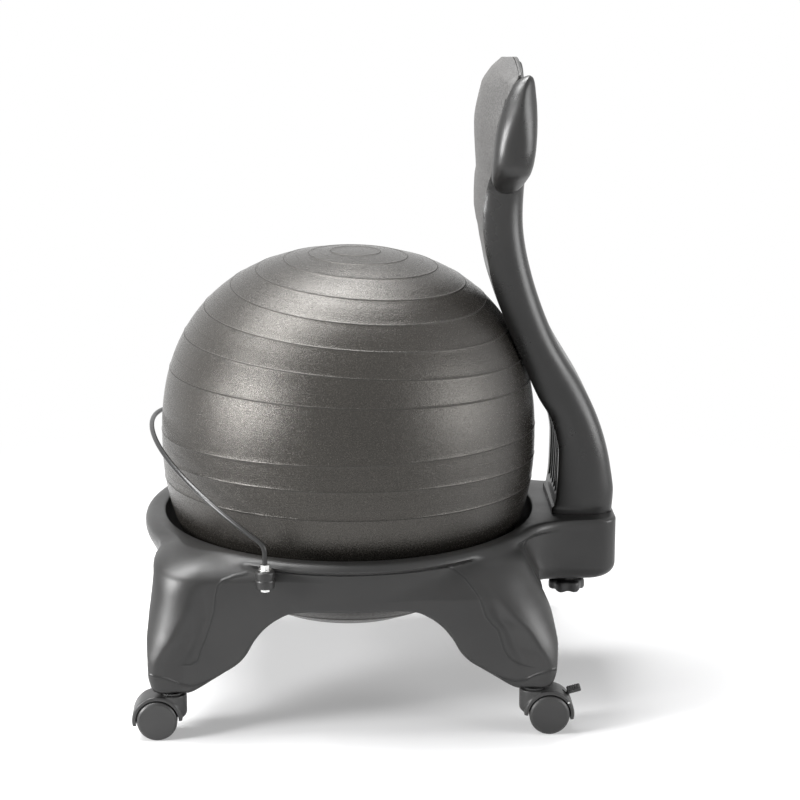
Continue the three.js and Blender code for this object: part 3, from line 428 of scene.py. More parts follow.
def lined_plastic(name, dark, light, gloss, grain_scale, grain_depth, lines):
    """Moulded plastic with fine sunk lines whose insides carry painted shade, and with soft shoulders."""
    material = grained_plastic(name, dark, light, gloss, grain_scale, grain_depth)
    tree = material.node_tree
    shader = tree.nodes["Principled BSDF"]
    colour = shader.inputs["Base Color"].links[0].from_socket
    normal = shader.inputs["Normal"].links[0].from_socket
    for line, inner, outer, depth in lines:
        strength = line + "_strength"
        inside = near_line(tree, line, inner, outer, 0, strength)
        # Painted shade: each sunk line's inside is darkened towards near-black
        colour = colour_between(tree, inside, colour, SUNK_LINE_SHADE)
        shoulder = near_line(tree, line, inner, outer * LINE_SHOULDER, 0, strength)
        sunk = math_node(tree, "SUBTRACT", 1, shoulder)
        normal = bump_node(tree, sunk, depth, normal)
    tree.links.new(colour, shader.inputs["Base Color"])
    tree.links.new(normal, shader.inputs["Normal"])
    return material


def faced_plastic(name, dark, light, gloss, grain_scale, grain_depth):
    """Glossy moulded plastic whose front face is paler, dull and finely dotted."""
    material = grained_plastic(name, dark, light, gloss, grain_scale, grain_depth)
    tree = material.node_tree
    shader = tree.nodes["Principled BSDF"]
    face = attribute_node(tree, "face")
    dots = noise_node(tree, 520, 2, 0.55)
    mottle = ramp_between(tree, dots, 0, 1, 0.38, 0.62)
    pale = colour_between(tree, mottle, FACE_DARK, FACE_LIGHT)
    rough = tree.nodes.new("ShaderNodeMix")
    rough.inputs["B"].default_value = FACE_ROUGHNESS
    colour = tree.nodes.new("ShaderNodeMix")
    colour.data_type = "RGBA"
    tree.links.new(pale, colour.inputs["B"])
    for socket, mix in (("Base Color", colour), ("Roughness", rough)):
        tree.links.new(shader.inputs[socket].links[0].from_socket, mix.inputs["A"])
        tree.links.new(face, mix.inputs["Factor"])
        tree.links.new(mix.outputs["Result"], shader.inputs[socket])
    raised = math_node(tree, "MULTIPLY", dots, face)
    under = shader.inputs["Normal"].links[0].from_socket
    tree.links.new(bump_node(tree, raised, FACE_DOT_DEPTH, under), shader.inputs["Normal"])
    return material


def metal(name, colour, gloss, scratch_depth):
    material, tree, shader = new_material(name)
    tone = noise_node(tree, 160, 3, 0.6)
    factor = ramp_between(tree, tone, 0, 1)
    dull = tuple(c * 0.8 for c in colour)
    tree.links.new(colour_between(tree, factor, dull, colour), shader.inputs["Base Color"])
    rough = ramp_between(tree, tone, gloss - 0.06, gloss + 0.08)
    tree.links.new(rough, shader.inputs["Roughness"])
    scratch = noise_node(tree, 900, 2, 0.6, (1, 1, 0.05))
    tree.links.new(bump_node(tree, scratch, scratch_depth), shader.inputs["Normal"])
    shader.inputs["Metallic"].default_value = 1
    return material


SATIN_BLACK = ((0.011, 0.0108, 0.0106), (0.017, 0.0166, 0.0162))
# Each line's name, its half width, where it has run out, and its depth
BASE_LINES = (
    ("crease", 0.35, 1.0, 0.0006), ("seam", 0.6, 1.1, 0.0007), ("groove", 0.5, 1.2, 0.0009),
)
BASE_PLASTIC = lined_plastic("base_plastic", *SATIN_BLACK, 0.37, 1500, 0.00012, BASE_LINES)
BACKREST_PLASTIC = faced_plastic("backrest_plastic", *SATIN_BLACK, 0.3, 1500, 0.0001)
CASTER_PLASTIC = grained_plastic(
    "caster_plastic", (0.02, 0.02, 0.02), (0.027, 0.0265, 0.026), 0.4, 2400, 0.00004,
)
KNOB_PLASTIC = grained_plastic(
    "knob_plastic", (0.012, 0.012, 0.012), (0.018, 0.018, 0.018), 0.38, 2200, 0.00004,
)
PLATED_STEEL = metal("plated_steel", (0.72, 0.72, 0.71), 0.26, 0.00002)
BLACK_WIRE = grained_plastic(
    "black_wire", (0.008, 0.008, 0.008), (0.013, 0.013, 0.013), 0.3, 2600, 0.00002,
)


# Ball
BALL_HALF_ACROSS = 237.5
BALL_RISE = 235.5
BALL_DROP = 238
BALL_SQUARENESS = 2.3
BALL_CENTRE_HEIGHT = 320
RING_HEIGHT = 0.55
RING_HALF_WIDTH = 1.5
# Each raised ring's latitude, and how far its plane leans along and across the chair
RINGS = (
    (-82, 2, 0), (-74, 2, 0), (-65, 1.5, 0), (-56, 1, 0),
    (-12.5, 0.5, -1.5), (-5.3, 0.5, -3), (2.9, -0.5, -2.5), (19.6, 2, -2), (29, 3.9, -1),
    (39, 4.1, 1), (49.4, 4, 3), (57.5, 4.3, 2), (66.5, 4, 1.2), (75, 3.2, 0.4), (82.4, 2.4, -0.4),
)
# Place over a ring's width, share of its height
RING_PROFILE = ((-1, 0), (-0.62, 0.22), (-0.3, 0.75), (0, 1), (0.3, 0.75), (0.62, 0.22), (1, 0))
RING_FAR_OFF = 99
BALL_COLUMNS = 400
BALL_ROW_STEP = 1.6
BALL_DARK = (0.007, 0.0064, 0.0055)
BALL_LIGHT = (0.029, 0.0265, 0.0235)
RING_BLACK = (0.0012, 0.0011, 0.001)
BALL_GLOSS = (0.17, 0.28)
BALL_GRAIN_DEPTH = 0.0005
BALL_SPECULAR = 0.62
BALL_SPECULAR_TINT = (1, 0.96, 0.9, 1)


def ball_reach(out, up):
    """How far the skin lies from the ball's middle, in a direction given by two cosines."""
    half = np.where(up > 0, BALL_RISE, BALL_DROP)
    total = (np.abs(out) / BALL_HALF_ACROSS) ** BALL_SQUARENESS + (np.abs(up) / half) ** BALL_SQUARENESS
    return total ** (-1 / BALL_SQUARENESS)


def ball_rows():
    """(latitude, roll, pitch, raise, distance past the nearest ring) of each row, pole to pole."""
    half_band = math.degrees(RING_HALF_WIDTH / BALL_HALF_ACROSS)
    crests = [(-90, 0, 0), *RINGS, (90, 0, 0)]
    rows = []
    for i, (latitude, roll, pitch) in enumerate(crests):
        if abs(latitude) < 90:
            rows += [
                (latitude + share * half_band, roll, pitch, RING_HEIGHT * height, share * RING_HALF_WIDTH)
                for share, height in RING_PROFILE
            ]
        if i == len(crests) - 1:
            break
        following = crests[i + 1]
        steps = max(round((following[0] - latitude) / BALL_ROW_STEP), 2)
        for s in range(1, steps):
            t = s / steps
            off = (t if t < 0.5 else t - 1) * (following[0] - latitude) * math.radians(BALL_HALF_ACROSS)
            rows.append(tuple(lerp(crests[i][k], following[k], t) for k in range(3)) + (0, off))
    return rows


def make_ball(material):
    rows = np.array(ball_rows())
    latitude, roll, pitch, raised = (rows[:, k][:, None] for k in range(4))
    angle = np.linspace(0, 2 * math.pi, BALL_COLUMNS, endpoint=False)[None, :]
    latitude, roll, pitch = (np.radians(v) for v in (latitude, roll, pitch))
    x = np.cos(latitude) * np.cos(angle)
    y = np.cos(latitude) * np.sin(angle)
    z = np.sin(latitude) + 0 * angle
    x, z = x * np.cos(roll) + z * np.sin(roll), -x * np.sin(roll) + z * np.cos(roll)
    y, z = y * np.cos(pitch) - z * np.sin(pitch), y * np.sin(pitch) + z * np.cos(pitch)
    reach = ball_reach(np.hypot(x, y), z) + raised
    points = np.stack([x * reach + axis_x, y * reach, z * reach + BALL_CENTRE_HEIGHT], -1).reshape(-1, 3)
    count = len(points)
    low = [axis_x, 0, BALL_CENTRE_HEIGHT - BALL_DROP]
    high = [axis_x, 0, BALL_CENTRE_HEIGHT + BALL_RISE]
    points = np.vstack([points, low, high])
    faces = grid_faces(len(rows), BALL_COLUMNS)
    last = (len(rows) - 1) * BALL_COLUMNS
    for k in range(BALL_COLUMNS):
        n = (k + 1) % BALL_COLUMNS
        faces.append((count, n, k))
        faces.append((count + 1, last + k, last + n))
    ball = mesh_object("ball_skin", points, faces)
    write_values(ball, "ring", np.append(np.repeat(rows[:, 4], BALL_COLUMNS), (RING_FAR_OFF, -RING_FAR_OFF)))
    dress(ball, "ball", material, "ball_vinyl", "ball")


def ball_material():
    """Satin vinyl, warm black, with a coarse grain that glitters where light falls on it."""
    material, tree, shader = new_material("ball_vinyl")
    tone = noise_node(tree, 7, 3, 0.5)
    speck = noise_node(tree, 620, 2, 0.55)
    mottle = ramp_between(tree, speck, 0, 1, 0.36, 0.66)
    cloud = ramp_between(tree, tone, 0, 0.3)
    blend = math_node(tree, "MULTIPLY_ADD", mottle, 0.7, cloud)
    colour = colour_between(tree, blend, BALL_DARK, BALL_LIGHT)
    line = near_line(tree, "ring", 0.25, 0.95, 0.35)
    tree.links.new(colour_between(tree, line, colour, RING_BLACK), shader.inputs["Base Color"])
    rough = ramp_between(tree, speck, *BALL_GLOSS)
    tree.links.new(math_node(tree, "MULTIPLY_ADD", line, 0.35, rough), shader.inputs["Roughness"])
    grain = noise_node(tree, 760, 2, 0.6)
    tree.links.new(bump_node(tree, grain, BALL_GRAIN_DEPTH), shader.inputs["Normal"])
    shader.inputs["Specular IOR Level"].default_value = BALL_SPECULAR
    shader.inputs["Specular Tint"].default_value = BALL_SPECULAR_TINT
    return material


make_ball(ball_material())


# Base
TRAY_TOP = 224.5
LIP_RADIUS = 234.7
LIP_ROUND = 3.3
RIM_RADIUS = 256
RIM_ROUND = 12.5
WAIST_RADIUS = 246
NOSE_RADIUS = 261
HOLE_RADIUS = 178
SEAT_INNER_RADIUS = 184
SEAT_OUTER_RADIUS = 206
SEAT_GAP = 0.5
HOLE_EDGE_DROP = 2
TRAY_WALL = 4
LEG_HALF_WIDTH = 254
LEG_CORNER_RADIUS = 57
PANEL_CORNER_RADIUS = 44
HOLLOW_DEPTH = 3
PANEL_HALF_WIDTH = 235
SHIN_ROUND = 30
ARCH_TOP = 161
RING_BLEND = 12
BLOCK_BLEND = 84
BLOCK_FOOT_BLEND = 40
BLOCK_REAR = 337
BLOCK_HALF_WIDTH = 87
BLOCK_BOTTOM = 141
BLOCK_BOTTOM_ROUND = 23
BLOCK_TOP_ROUND = 4
BLOCK_CORNER_RADIUS = 22
CASTER_OFFSET = 220
FOOT_HEIGHT = 57.5
LEG_RISE = TRAY_TOP - FOOT_HEIGHT
FOOT_EDGE = 4.5
LUG_X = -104.96
LUG_Y = 252.006
LUG_TOP = 219.5
LUG_BOTTOM = 198
LUG_RADIUS = 11.5
LUG_NECK_WIDTH = 17
LUG_NECK_LENGTH = 24
LUG_BORE_RADIUS = 3.6
GROOVE_HEIGHT = 211
GROOVE_ENDS = (84, 100)
SKIN_DEPTH = 1.2
LINE_FADE = 12
BASE_COLUMNS = 800
SKIN_ROWS = 70
BELLY_ROWS = 16
FLARE_CONTROL = (LIP_RADIUS - 1, 207)
# (across, height) of the fine line where panel and shin meet, on the front and the rear legs
FRONT_CREASE = (
    (123, 208), (141, 206), (156, 201.5), (162, 195), (165, 182.5), (167, 162), (172, 145), (178, 127),
    (184, 113), (188, 100), (197, 95), (212, 95),
)
REAR_CREASE = (
    (91.5, 214), (111, 211), (123, 205), (135, 196), (144, 185.5), (152, 175), (159, 152), (166, 142),
    (174, 134), (181, 111), (185, 103), (191, 95.5), (203, 89), (222, 87),
)
# (across, height) of the fine line round each foot
SEAM_LINE = (
    (140, 88), (168, 78), (185, 71), (197, 68), (209, 70), (221, 78), (235, 84), (247, 86), (262, 86),
)
# Place across as a share of the casters' offset, share of the arch's rise
ARCH_SHARES = (
    (0.24, 1), (0.35, 0.965), (0.43, 0.882), (0.5, 0.765), (0.555, 0.62), (0.6, 0.455),
    (0.65, 0.345), (0.72, 0.25), (0.8, 0.145), (0.86, 0.065), (0.905, 0.015), (0.93, 0), (1, 0),
)
# How far the legs reach across (first two) and along the chair, as shares of the widest
FRONT_ACROSS_SHARES = (
    (0, 0.93), (0.027, 0.955), (0.075, 0.972), (0.158, 0.985), (0.265, 0.992), (0.378, 0.99),
    (0.503, 0.98), (0.604, 0.966), (0.705, 0.952), (0.8, 0.938), (0.86, 0.922), (0.9, 0.895),
    (0.943, 0.85), (1, 0.76),
)
REAR_ACROSS_SHARES = (
    (0, 0.93), (0.027, 0.955), (0.075, 0.972), (0.158, 0.985), (0.265, 0.992), (0.378, 0.988),
    (0.503, 0.975), (0.6, 0.953), (0.7, 0.924), (0.8, 0.888), (0.88, 0.848), (0.94, 0.8), (1, 0.735),
)
FRONT_ALONG_SHARES = (
    (0, 0.948), (0.027, 0.978), (0.068, 0.998), (0.165, 1.012), (0.262, 1.014), (0.358, 1.008),
    (0.502, 0.994), (0.645, 0.976), (0.811, 0.96), (0.9, 0.95), (0.94, 0.928), (0.97, 0.893), (1, 0.83),
)
REAR_ALONG_SHARES = (
    (0, 0.938), (0.027, 0.968), (0.117, 0.995), (0.2, 1.001), (0.322, 0.997), (0.408, 0.986),
    (0.495, 0.968), (0.581, 0.944), (0.667, 0.914), (0.741, 0.886), (0.812, 0.862), (0.88, 0.834),
    (0.94, 0.79), (1, 0.725),
)
# Where panel and shin meet, up the leg, as shares of the casters' offset
FRONT_BEAD_SHARES = (
    (0.1, 0.868), (0.256, 0.856), (0.332, 0.838), (0.416, 0.81), (0.522, 0.784),
    (0.628, 0.761), (0.748, 0.75), (0.846, 0.727), (0.889, 0.64), (0.91, 0.54),
)
REAR_BEAD_SHARES = (
    (0.1, 0.866), (0.2, 0.856), (0.275, 0.84), (0.321, 0.824), (0.46, 0.785),
    (0.568, 0.727), (0.705, 0.686), (0.767, 0.656), (0.828, 0.612), (0.882, 0.558), (0.921, 0.503),
    (0.94, 0.41),
)
arch_curve = curve_through(ARCH_SHARES)
front_across = curve_through(FRONT_ACROSS_SHARES)
rear_across = curve_through(REAR_ACROSS_SHARES)
front_along = curve_through(FRONT_ALONG_SHARES)
rear_along = curve_through(REAR_ALONG_SHARES)
front_bead_curve = curve_through(FRONT_BEAD_SHARES)
rear_bead_curve = curve_through(REAR_BEAD_SHARES)
seam_curve = curve_through(SEAM_LINE)


def arch_height(across):
    return lerp(FOOT_HEIGHT, ARCH_TOP, arch_curve(np.abs(across) / CASTER_OFFSET))


def rectangle_reach(cosine, sine, half_x, half_y, corner):
    """Distance from the axis to a rounded rectangle, in a direction given by two cosines."""
    c = np.maximum(np.abs(cosine), 1e-6)
    s = np.maximum(np.abs(sine), 1e-6)
    core_x = half_x - corner
    core_y = half_y - corner
    along = c * core_x + s * core_y
    aside = c * core_y - s * core_x
    round_part = along + np.sqrt(np.maximum(corner ** 2 - aside ** 2, 0))
    reach = np.where(half_x * s <= core_y * c, half_x / c, round_part)
    return np.where(half_y * c <= core_x * s, half_y / s, reach)


def rim_reach(azimuth, height):
    nose = smoothstep(-np.cos(azimuth), 0.55, 1)
    widest = lerp(RIM_RADIUS, NOSE_RADIUS, nose)
    roll_start = FOOT_HEIGHT + LEG_RISE * lerp(0.9, 0.66, nose)
    roll_end = FOOT_HEIGHT + LEG_RISE * lerp(0.955, 0.9, nose)
    t = np.clip((height - roll_start) / (roll_end - roll_start), 0, 1)
    bulge = t * t * (3 - 2 * t)
    above = np.clip((height - (TRAY_TOP - RIM_ROUND)) / RIM_ROUND, 0, 1)
    rounding = RIM_ROUND * (1 - np.sqrt(1 - above ** 2))
    return lerp(WAIST_RADIUS, widest, bulge) - rounding


def bead_offset(azimuth, height, reach):
    """How far a place on the skin lies past the line where the side panel meets the shin."""
    share = (height - FOOT_HEIGHT) / LEG_RISE
    cosine, sine = np.cos(azimuth), np.sin(azimuth)
    across = np.minimum(np.abs(cosine), np.abs(sine)) * reach
    return across - np.where(cosine > 0, rear_bead_curve(share), front_bead_curve(share)) * CASTER_OFFSET


def leg_reach(azimuth, height):
    cosine, sine = np.cos(azimuth), np.sin(azimuth)
    share = (height - FOOT_HEIGHT) / LEG_RISE
    half_y = np.where(cosine < 0, front_across(share), rear_across(share)) * LEG_HALF_WIDTH
    half_x = np.where(cosine < 0, front_along(share), rear_along(share)) * LEG_HALF_WIDTH
    corner = lerp(half_y - CASTER_OFFSET, LEG_CORNER_RADIUS, smoothstep(share, 0.1, 0.55))
    leg = rectangle_reach(cosine, sine, half_x, half_y, corner)
    panel = rectangle_reach(cosine, sine, PANEL_HALF_WIDTH, PANEL_HALF_WIDTH, PANEL_CORNER_RADIUS)
    rise = np.clip(bead_offset(azimuth, height, panel) / SHIN_ROUND, 0, 1)
    on_shin = lerp(rise, smoothstep(rise, 0.42, 1), 0.8)
    in_hollow = smoothstep(rise, 0.15, 0.55) * (1 - smoothstep(rise, 0.55, 0.88))
    lobed = smoothstep(share, 0.2, 0.36) * (1 - smoothstep(share, 0.62, 0.85))
    return lerp(np.minimum(panel, leg), leg, on_shin) - HOLLOW_DEPTH * in_hollow * lobed


def block_reach(azimuth, height):
    low = np.clip((BLOCK_BOTTOM + BLOCK_BOTTOM_ROUND - height) / BLOCK_BOTTOM_ROUND, 0, 1)
    high = np.clip((height - (TRAY_TOP - BLOCK_TOP_ROUND)) / BLOCK_TOP_ROUND, 0, 1)
    inset = BLOCK_BOTTOM_ROUND * (1 - np.sqrt(1 - low ** 2))
    inset = inset + BLOCK_TOP_ROUND * (1 - np.sqrt(1 - high ** 2))
    reach = rectangle_reach(
        np.cos(azimuth), np.sin(azimuth), BLOCK_REAR - inset, BLOCK_HALF_WIDTH - inset, BLOCK_CORNER_RADIUS
    )
    return np.where((np.cos(azimuth) <= 0) | (height < BLOCK_BOTTOM), 0, reach)


def skin_reach(azimuth, height):
    tray = smooth_max(rim_reach(azimuth, height), leg_reach(azimuth, height), RING_BLEND)
    blend = lerp(BLOCK_FOOT_BLEND, BLOCK_BLEND, smoothstep(height, BLOCK_BOTTOM, TRAY_TOP - RIM_ROUND))
    return smooth_max(tray, block_reach(azimuth, height), blend)


def underside(azimuth, radius):
    x, y = radius * np.cos(azimuth), radius * np.sin(azimuth)
    arches = np.maximum(arch_height(x), arch_height(y))
    edge = BLOCK_HALF_WIDTH + BLOCK_CORNER_RADIUS
    under_block = np.where(x > 0, 1 - smoothstep(np.abs(y), BLOCK_HALF_WIDTH, edge), 0)
    outside = smoothstep(radius, PANEL_HALF_WIDTH - BLOCK_BOTTOM_ROUND, PANEL_HALF_WIDTH)
    return lerp(arches, np.minimum(arches, BLOCK_BOTTOM), under_block * outside)


def skin_foot(azimuth):
    """The height at which the skin meets the underside, found by halving the span."""
    low = np.full(azimuth.shape, FOOT_HEIGHT - 2.0)
    high = np.full(azimuth.shape, TRAY_TOP - RIM_ROUND)
    for _ in range(30):
        middle = (low + high) / 2
        above = underside(azimuth, skin_reach(azimuth, middle)) > middle
        low = np.where(above, middle, low)
        high = np.where(above, high, middle)
    return (low + high) / 2


def under_ball(radius, gap):
    """A (radius, height) place on the seat, a small gap below the ball's skin."""
    out = radius / BALL_HALF_ACROSS
    down = (1 - out ** BALL_SQUARENESS) ** (1 / BALL_SQUARENESS)
    power = BALL_SQUARENESS - 1
    normal = Vector((out ** power / BALL_HALF_ACROSS, -(down ** power) / BALL_DROP))
    normal.normalize()
    return radius + gap * normal.x, BALL_CENTRE_HEIGHT - down * BALL_DROP + gap * normal.y


def lug(side):
    """The boss that holds one end of the bar, with a neck that runs back into the rim."""
    middle = (LUG_TOP + LUG_BOTTOM) / 2
    boss = turned_piece("lug_boss", rounded_profile([
        (0, LUG_BOTTOM, 0), (LUG_RADIUS, LUG_BOTTOM, 2.6), (LUG_RADIUS, middle - 1.6, 0.4),
        (LUG_RADIUS - 0.8, middle, 0.4), (LUG_RADIUS, middle + 1.6, 0.4), (LUG_RADIUS, LUG_TOP, 2.6),
        (0, LUG_TOP, 0),
    ], 6))
    bore = upright_rod("lug_bore", LUG_BORE_RADIUS, LUG_BOTTOM - 3, LUG_TOP + 3, 0, 32)
    for turned in (boss, bore):
        turned.data.transform(shift_mm(LUG_X + axis_x, side * LUG_Y, 0))
    place = (LUG_X + axis_x, side * (LUG_Y - LUG_NECK_LENGTH / 2), middle)
    joined(boss, slab("lug_neck", LUG_NECK_WIDTH, LUG_NECK_LENGTH, LUG_TOP - LUG_BOTTOM - 4.4, 1.5, place))
    return cut_from(boss, bore)


def beside_line(line, across, height):
    """Signed distance from an open line of (across, height) points, and a fade at its two ends."""
    line = np.array(line, float)
    starts, spans = line[:-1], np.diff(line, axis=0)
    lengths = np.hypot(*spans.T)
    run = np.concatenate([[0], np.cumsum(lengths)])
    best = np.full(across.shape, 1e9)
    signed, along = np.zeros_like(best), np.zeros_like(best)
    for i, ((sx, sz), (dx, dz), length) in enumerate(zip(starts, spans, lengths)):
        px, pz = across - sx, height - sz
        t = np.clip((px * dx + pz * dz) / length ** 2, 0, 1)
        far = np.hypot(px - t * dx, pz - t * dz)
        side = np.where(dx * pz - dz * px >= 0, 1.0, -1.0)
        nearer = far < best
        best = np.where(nearer, far, best)
        signed = np.where(nearer, side * far, signed)
        along = np.where(nearer, run[i] + t * length, along)
    fade = smoothstep(along, 0, LINE_FADE) * (1 - smoothstep(along, run[-1] - LINE_FADE, run[-1]))
    return signed, fade


def mark_lines(base):
    """Writes how far each point lies from the creases, the seams and the groove under the rim."""
    x, y, height = places_mm(base)
    outside = np.hypot(x, y) > skin_reach(np.arctan2(y, x), height) - SKIN_DEPTH
    across = np.minimum(np.abs(x), np.abs(y))
    front, front_fade = beside_line(FRONT_CREASE, across, height)
    rear, rear_fade = beside_line(REAR_CREASE, across, height)
    crease_fade = np.where(x < 0, front_fade, rear_fade)
    on_side = (1 - smoothstep(np.abs(x + 5), *GROOVE_ENDS)) * (np.abs(y) > 200)
    marks = {
        "crease": np.where(x < 0, front, rear), "crease_strength": crease_fade * outside,
        "seam": height - seam_curve(across),
        "seam_strength": 1.0 * outside * (across > 130) * (height < 110),
        "groove": height - GROOVE_HEIGHT, "groove_strength": on_side * outside,
    }
    for name, values in marks.items():
        write_values(base, name, values)


def inner_profile():
    """(radius, height) places up the tray's inside: the seat, the flare and the lip's round."""
    shares = np.linspace(0, 1, 6)
    seat = [under_ball(lerp(SEAT_INNER_RADIUS, SEAT_OUTER_RADIUS, s), SEAT_GAP) for s in shares]
    lip = (LIP_RADIUS, TRAY_TOP - LIP_ROUND)
    flare = [
        tuple(
            seat[-1][k] * (1 - t) ** 2 + FLARE_CONTROL[k] * 2 * t * (1 - t) + lip[k] * t * t
            for k in range(2)
        )
        for t in (0.25, 0.5, 0.75)
    ]
    lip_arc = [
        (LIP_RADIUS + LIP_ROUND * (1 - math.cos(a)), TRAY_TOP - LIP_ROUND * (1 - math.sin(a)))
        for a in np.linspace(0, math.pi / 2, 5)
    ]
    return seat + flare + lip_arc


def make_base(material):
    """Closed sections round the ball's axis: hole, seat, lip, rim, skin, foot and underside."""
    azimuth = np.linspace(0, 2 * math.pi, BASE_COLUMNS, endpoint=False)
    ones = np.ones(BASE_COLUMNS)
    foot = skin_foot(azimuth)
    rim = [TRAY_TOP - RIM_ROUND * (1 - math.cos(a)) for a in np.linspace(0, math.pi / 2, 9)]
    below = np.linspace(0, 1, SKIN_ROWS)[1:]
    levels = np.vstack([h * ones for h in rim] + [lerp(rim[-1], foot, s) for s in below])
    reach = skin_reach(azimuth[None, :], levels)
    edge = np.clip((foot[None, :] + FOOT_EDGE - levels) / FOOT_EDGE, 0, 1)
    reach = reach - FOOT_EDGE * (1 - np.sqrt(1 - edge ** 2)) * 0.9
    hole_top = under_ball(HOLE_RADIUS, 0)[1] - HOLE_EDGE_DROP
    hole_foot = np.minimum(underside(azimuth, HOLE_RADIUS + 0 * azimuth), hole_top - TRAY_WALL)
    belly = []
    for share in np.linspace(0, 1, BELLY_ROWS)[1:-1]:
        radius = lerp(reach[-1], HOLE_RADIUS, share)
        height = np.minimum(underside(azimuth, radius), lerp(foot, hole_foot, share) + TRAY_WALL)
        belly.append((radius, height))
    rows = [(HOLE_RADIUS * ones, hole_foot), (HOLE_RADIUS * ones, hole_top * ones)]
    rows += [(r * ones, h * ones) for r, h in inner_profile()]
    rows += list(zip(reach, levels))
    rows += belly
    points = np.concatenate([
        np.stack([r * np.cos(azimuth) + axis_x, r * np.sin(azimuth), h], -1) for r, h in rows
    ])
    base = mesh_object("base_moulding", points, grid_faces(len(rows), BASE_COLUMNS, wrap_rows=True))
    joined(base, lug(-1), lug(1))
    shaded(base, 40)
    mark_lines(base)
    dress(base, "base", material, "base_plastic", "base_shell")


make_base(BASE_PLASTIC)


# Backrest: the stem and pad are lofted level by level, and a wing joins each side of the pad.
# Levels are shares of the height over the deck; places are shares of the block's length.
BACKREST_BOTTOM = TRAY_TOP + 0.3
BACKREST_TOP = 795
BACKREST_RISE = BACKREST_TOP - BACKREST_BOTTOM
TOP_ARCH_DROP = 16
PAD_HALF_WIDTH = 82
PAD_CROWN = 24
CREASE_INSET = 10
BACK_EDGE_ROUND = 26
SLOT_DEPTH = 17
SLOT_HALF_WIDTH = 6.3
SLOT_SPACING = 19
SLOT_COUNT = 5
SLOT_LOW = 246
SLOT_HIGH = 346
SLOT_END = 14
BACK_EASE = np.array((-0.03, -0.02, -0.01, 0, 0.01, 0.02, 0.03)) * 1.2
FACE_FADE = (525, 585)
FACE_COLUMNS = 111
MIDDLE_SHARE = 0.45
CAP_SHARES = (0.35, 0.7, 0.93)
CAP_RIDGE_SETBACK = 5
STEM_HALF_WIDTH = 66
# (share of the rise, place behind the axis as a share of the block's length)
FRONT_LINE_SHARES = (
    (0, 0.76), (0.013, 0.762), (0.016, 0.771), (0.074, 0.781), (0.138, 0.783), (0.207, 0.76), (0.266, 0.704),
    (0.323, 0.66), (0.425, 0.585), (0.487, 0.547), (0.536, 0.522), (0.569, 0.511), (0.598, 0.501),
    (0.626, 0.494), (0.652, 0.49), (0.674, 0.49), (0.696, 0.494), (0.749, 0.51), (0.763, 0.517),
    (0.816, 0.523), (0.867, 0.533), (0.911, 0.552), (0.954, 0.566), (0.977, 0.571), (0.98, 0.573), (1, 0.597),
)
BACK_LINE_SHARES = (
    (0, 0.985), (0.0197, 1.003), (0.069, 0.993), (0.138, 0.973), (0.182, 0.952), (0.229, 0.923),
    (0.276, 0.884), (0.325, 0.837), (0.367, 0.79), (0.412, 0.752), (0.457, 0.721), (0.502, 0.694),
    (0.551, 0.67), (0.602, 0.651), (0.64, 0.642), (0.668, 0.64), (0.695, 0.642), (0.74, 0.646),
    (0.8, 0.648), (0.88, 0.645), (0.94, 0.64), (0.985, 0.632), (1, 0.62),
)
HALF_WIDTHS = (
    (0, STEM_HALF_WIDTH), (0.3, STEM_HALF_WIDTH), (0.55, 62.5), (0.69, 60), (0.72, 61), (0.745, 66),
    (0.77, 74), (0.8, 80), (0.96, 80), (0.985, 78), (1, 74),
)
# (share of the rise, how far the face bows forward as a share of the pad's crown)
BOW_SHARES = (
    (0, 0), (0.04, -0.03), (0.12, -0.06), (0.2, -0.1), (0.27, -0.26), (0.32, -0.31), (0.45, -0.3),
    (0.54, -0.1), (0.57, 0.02), (0.6, 0.04), (0.626, 0.07), (0.652, 0.17), (0.682, 0.29),
    (0.743, 0.51), (0.816, 0.73), (0.862, 0.89), (0.911, 1.02), (0.948, 0.98), (0.978, 0.62), (1, 0.4),
)
WING_LOW = 634
WING_HIGH = 782.5
WING_ROWS = 90
WING_COLUMNS = 72
WING_FULL, WING_LEAN = 2.15, 1.42
# Share of the wing's height, middle behind the axis, half thickness, middle across, half width
WING_SECTIONS = (
    (0, 194, 3, 56, 2), (0.03, 194.5, 11, 58, 8), (0.07, 195, 16.5, 61, 12.5), (0.13, 196, 21, 68, 17),
    (0.2, 198, 23.8, 76, 20.5), (0.3, 200, 25.3, 81, 22), (0.4, 201.6, 25.6, 82, 22.3),
    (0.5, 203, 25.2, 82, 22.3), (0.6, 204.5, 24, 82, 21.8), (0.75, 207.4, 20.4, 81, 19.8),
    (0.86, 210, 16.2, 80, 16.6), (0.92, 212, 13.2, 79.5, 13.8), (0.96, 214, 10, 79, 10.6),
    (0.985, 216, 6.4, 78.5, 7), (1, 217.5, 2, 78.5, 2.5),
)
front_line = curve_through(FRONT_LINE_SHARES)
back_line = curve_through(BACK_LINE_SHARES)
half_width_line = curve_through(HALF_WIDTHS)
bow_line = curve_through(BOW_SHARES)
wing_lines = [curve_through([(row[0], row[k]) for row in WING_SECTIONS]) for k in range(1, 5)]


def wing_fullness(share):
    """How full the wing's section is: rounded low down, a blade with a ridge towards the tip."""
    return lerp(WING_FULL, WING_LEAN, smoothstep(share, 0.35, 0.85))


def face_edge(half):
    """How far across the front face runs, in a backrest of a given half width."""
    return half - CREASE_INSET * np.minimum(half / STEM_HALF_WIDTH, 1)


def slot_pocket(y, height):
    """Depth of the upright slots in the front of the stem's foot."""
    fade = smoothstep(height, SLOT_LOW, SLOT_LOW + SLOT_END)
    fade = fade * (1 - smoothstep(height, SLOT_HIGH - SLOT_END, SLOT_HIGH))
    place = y / SLOT_SPACING
    nearest = np.clip(np.round(place), -(SLOT_COUNT // 2), SLOT_COUNT // 2)
    off = np.abs(place - nearest) * SLOT_SPACING
    return SLOT_DEPTH * fade * (1 - smoothstep(off, SLOT_HALF_WIDTH - 1.5, SLOT_HALF_WIDTH + 1.5))


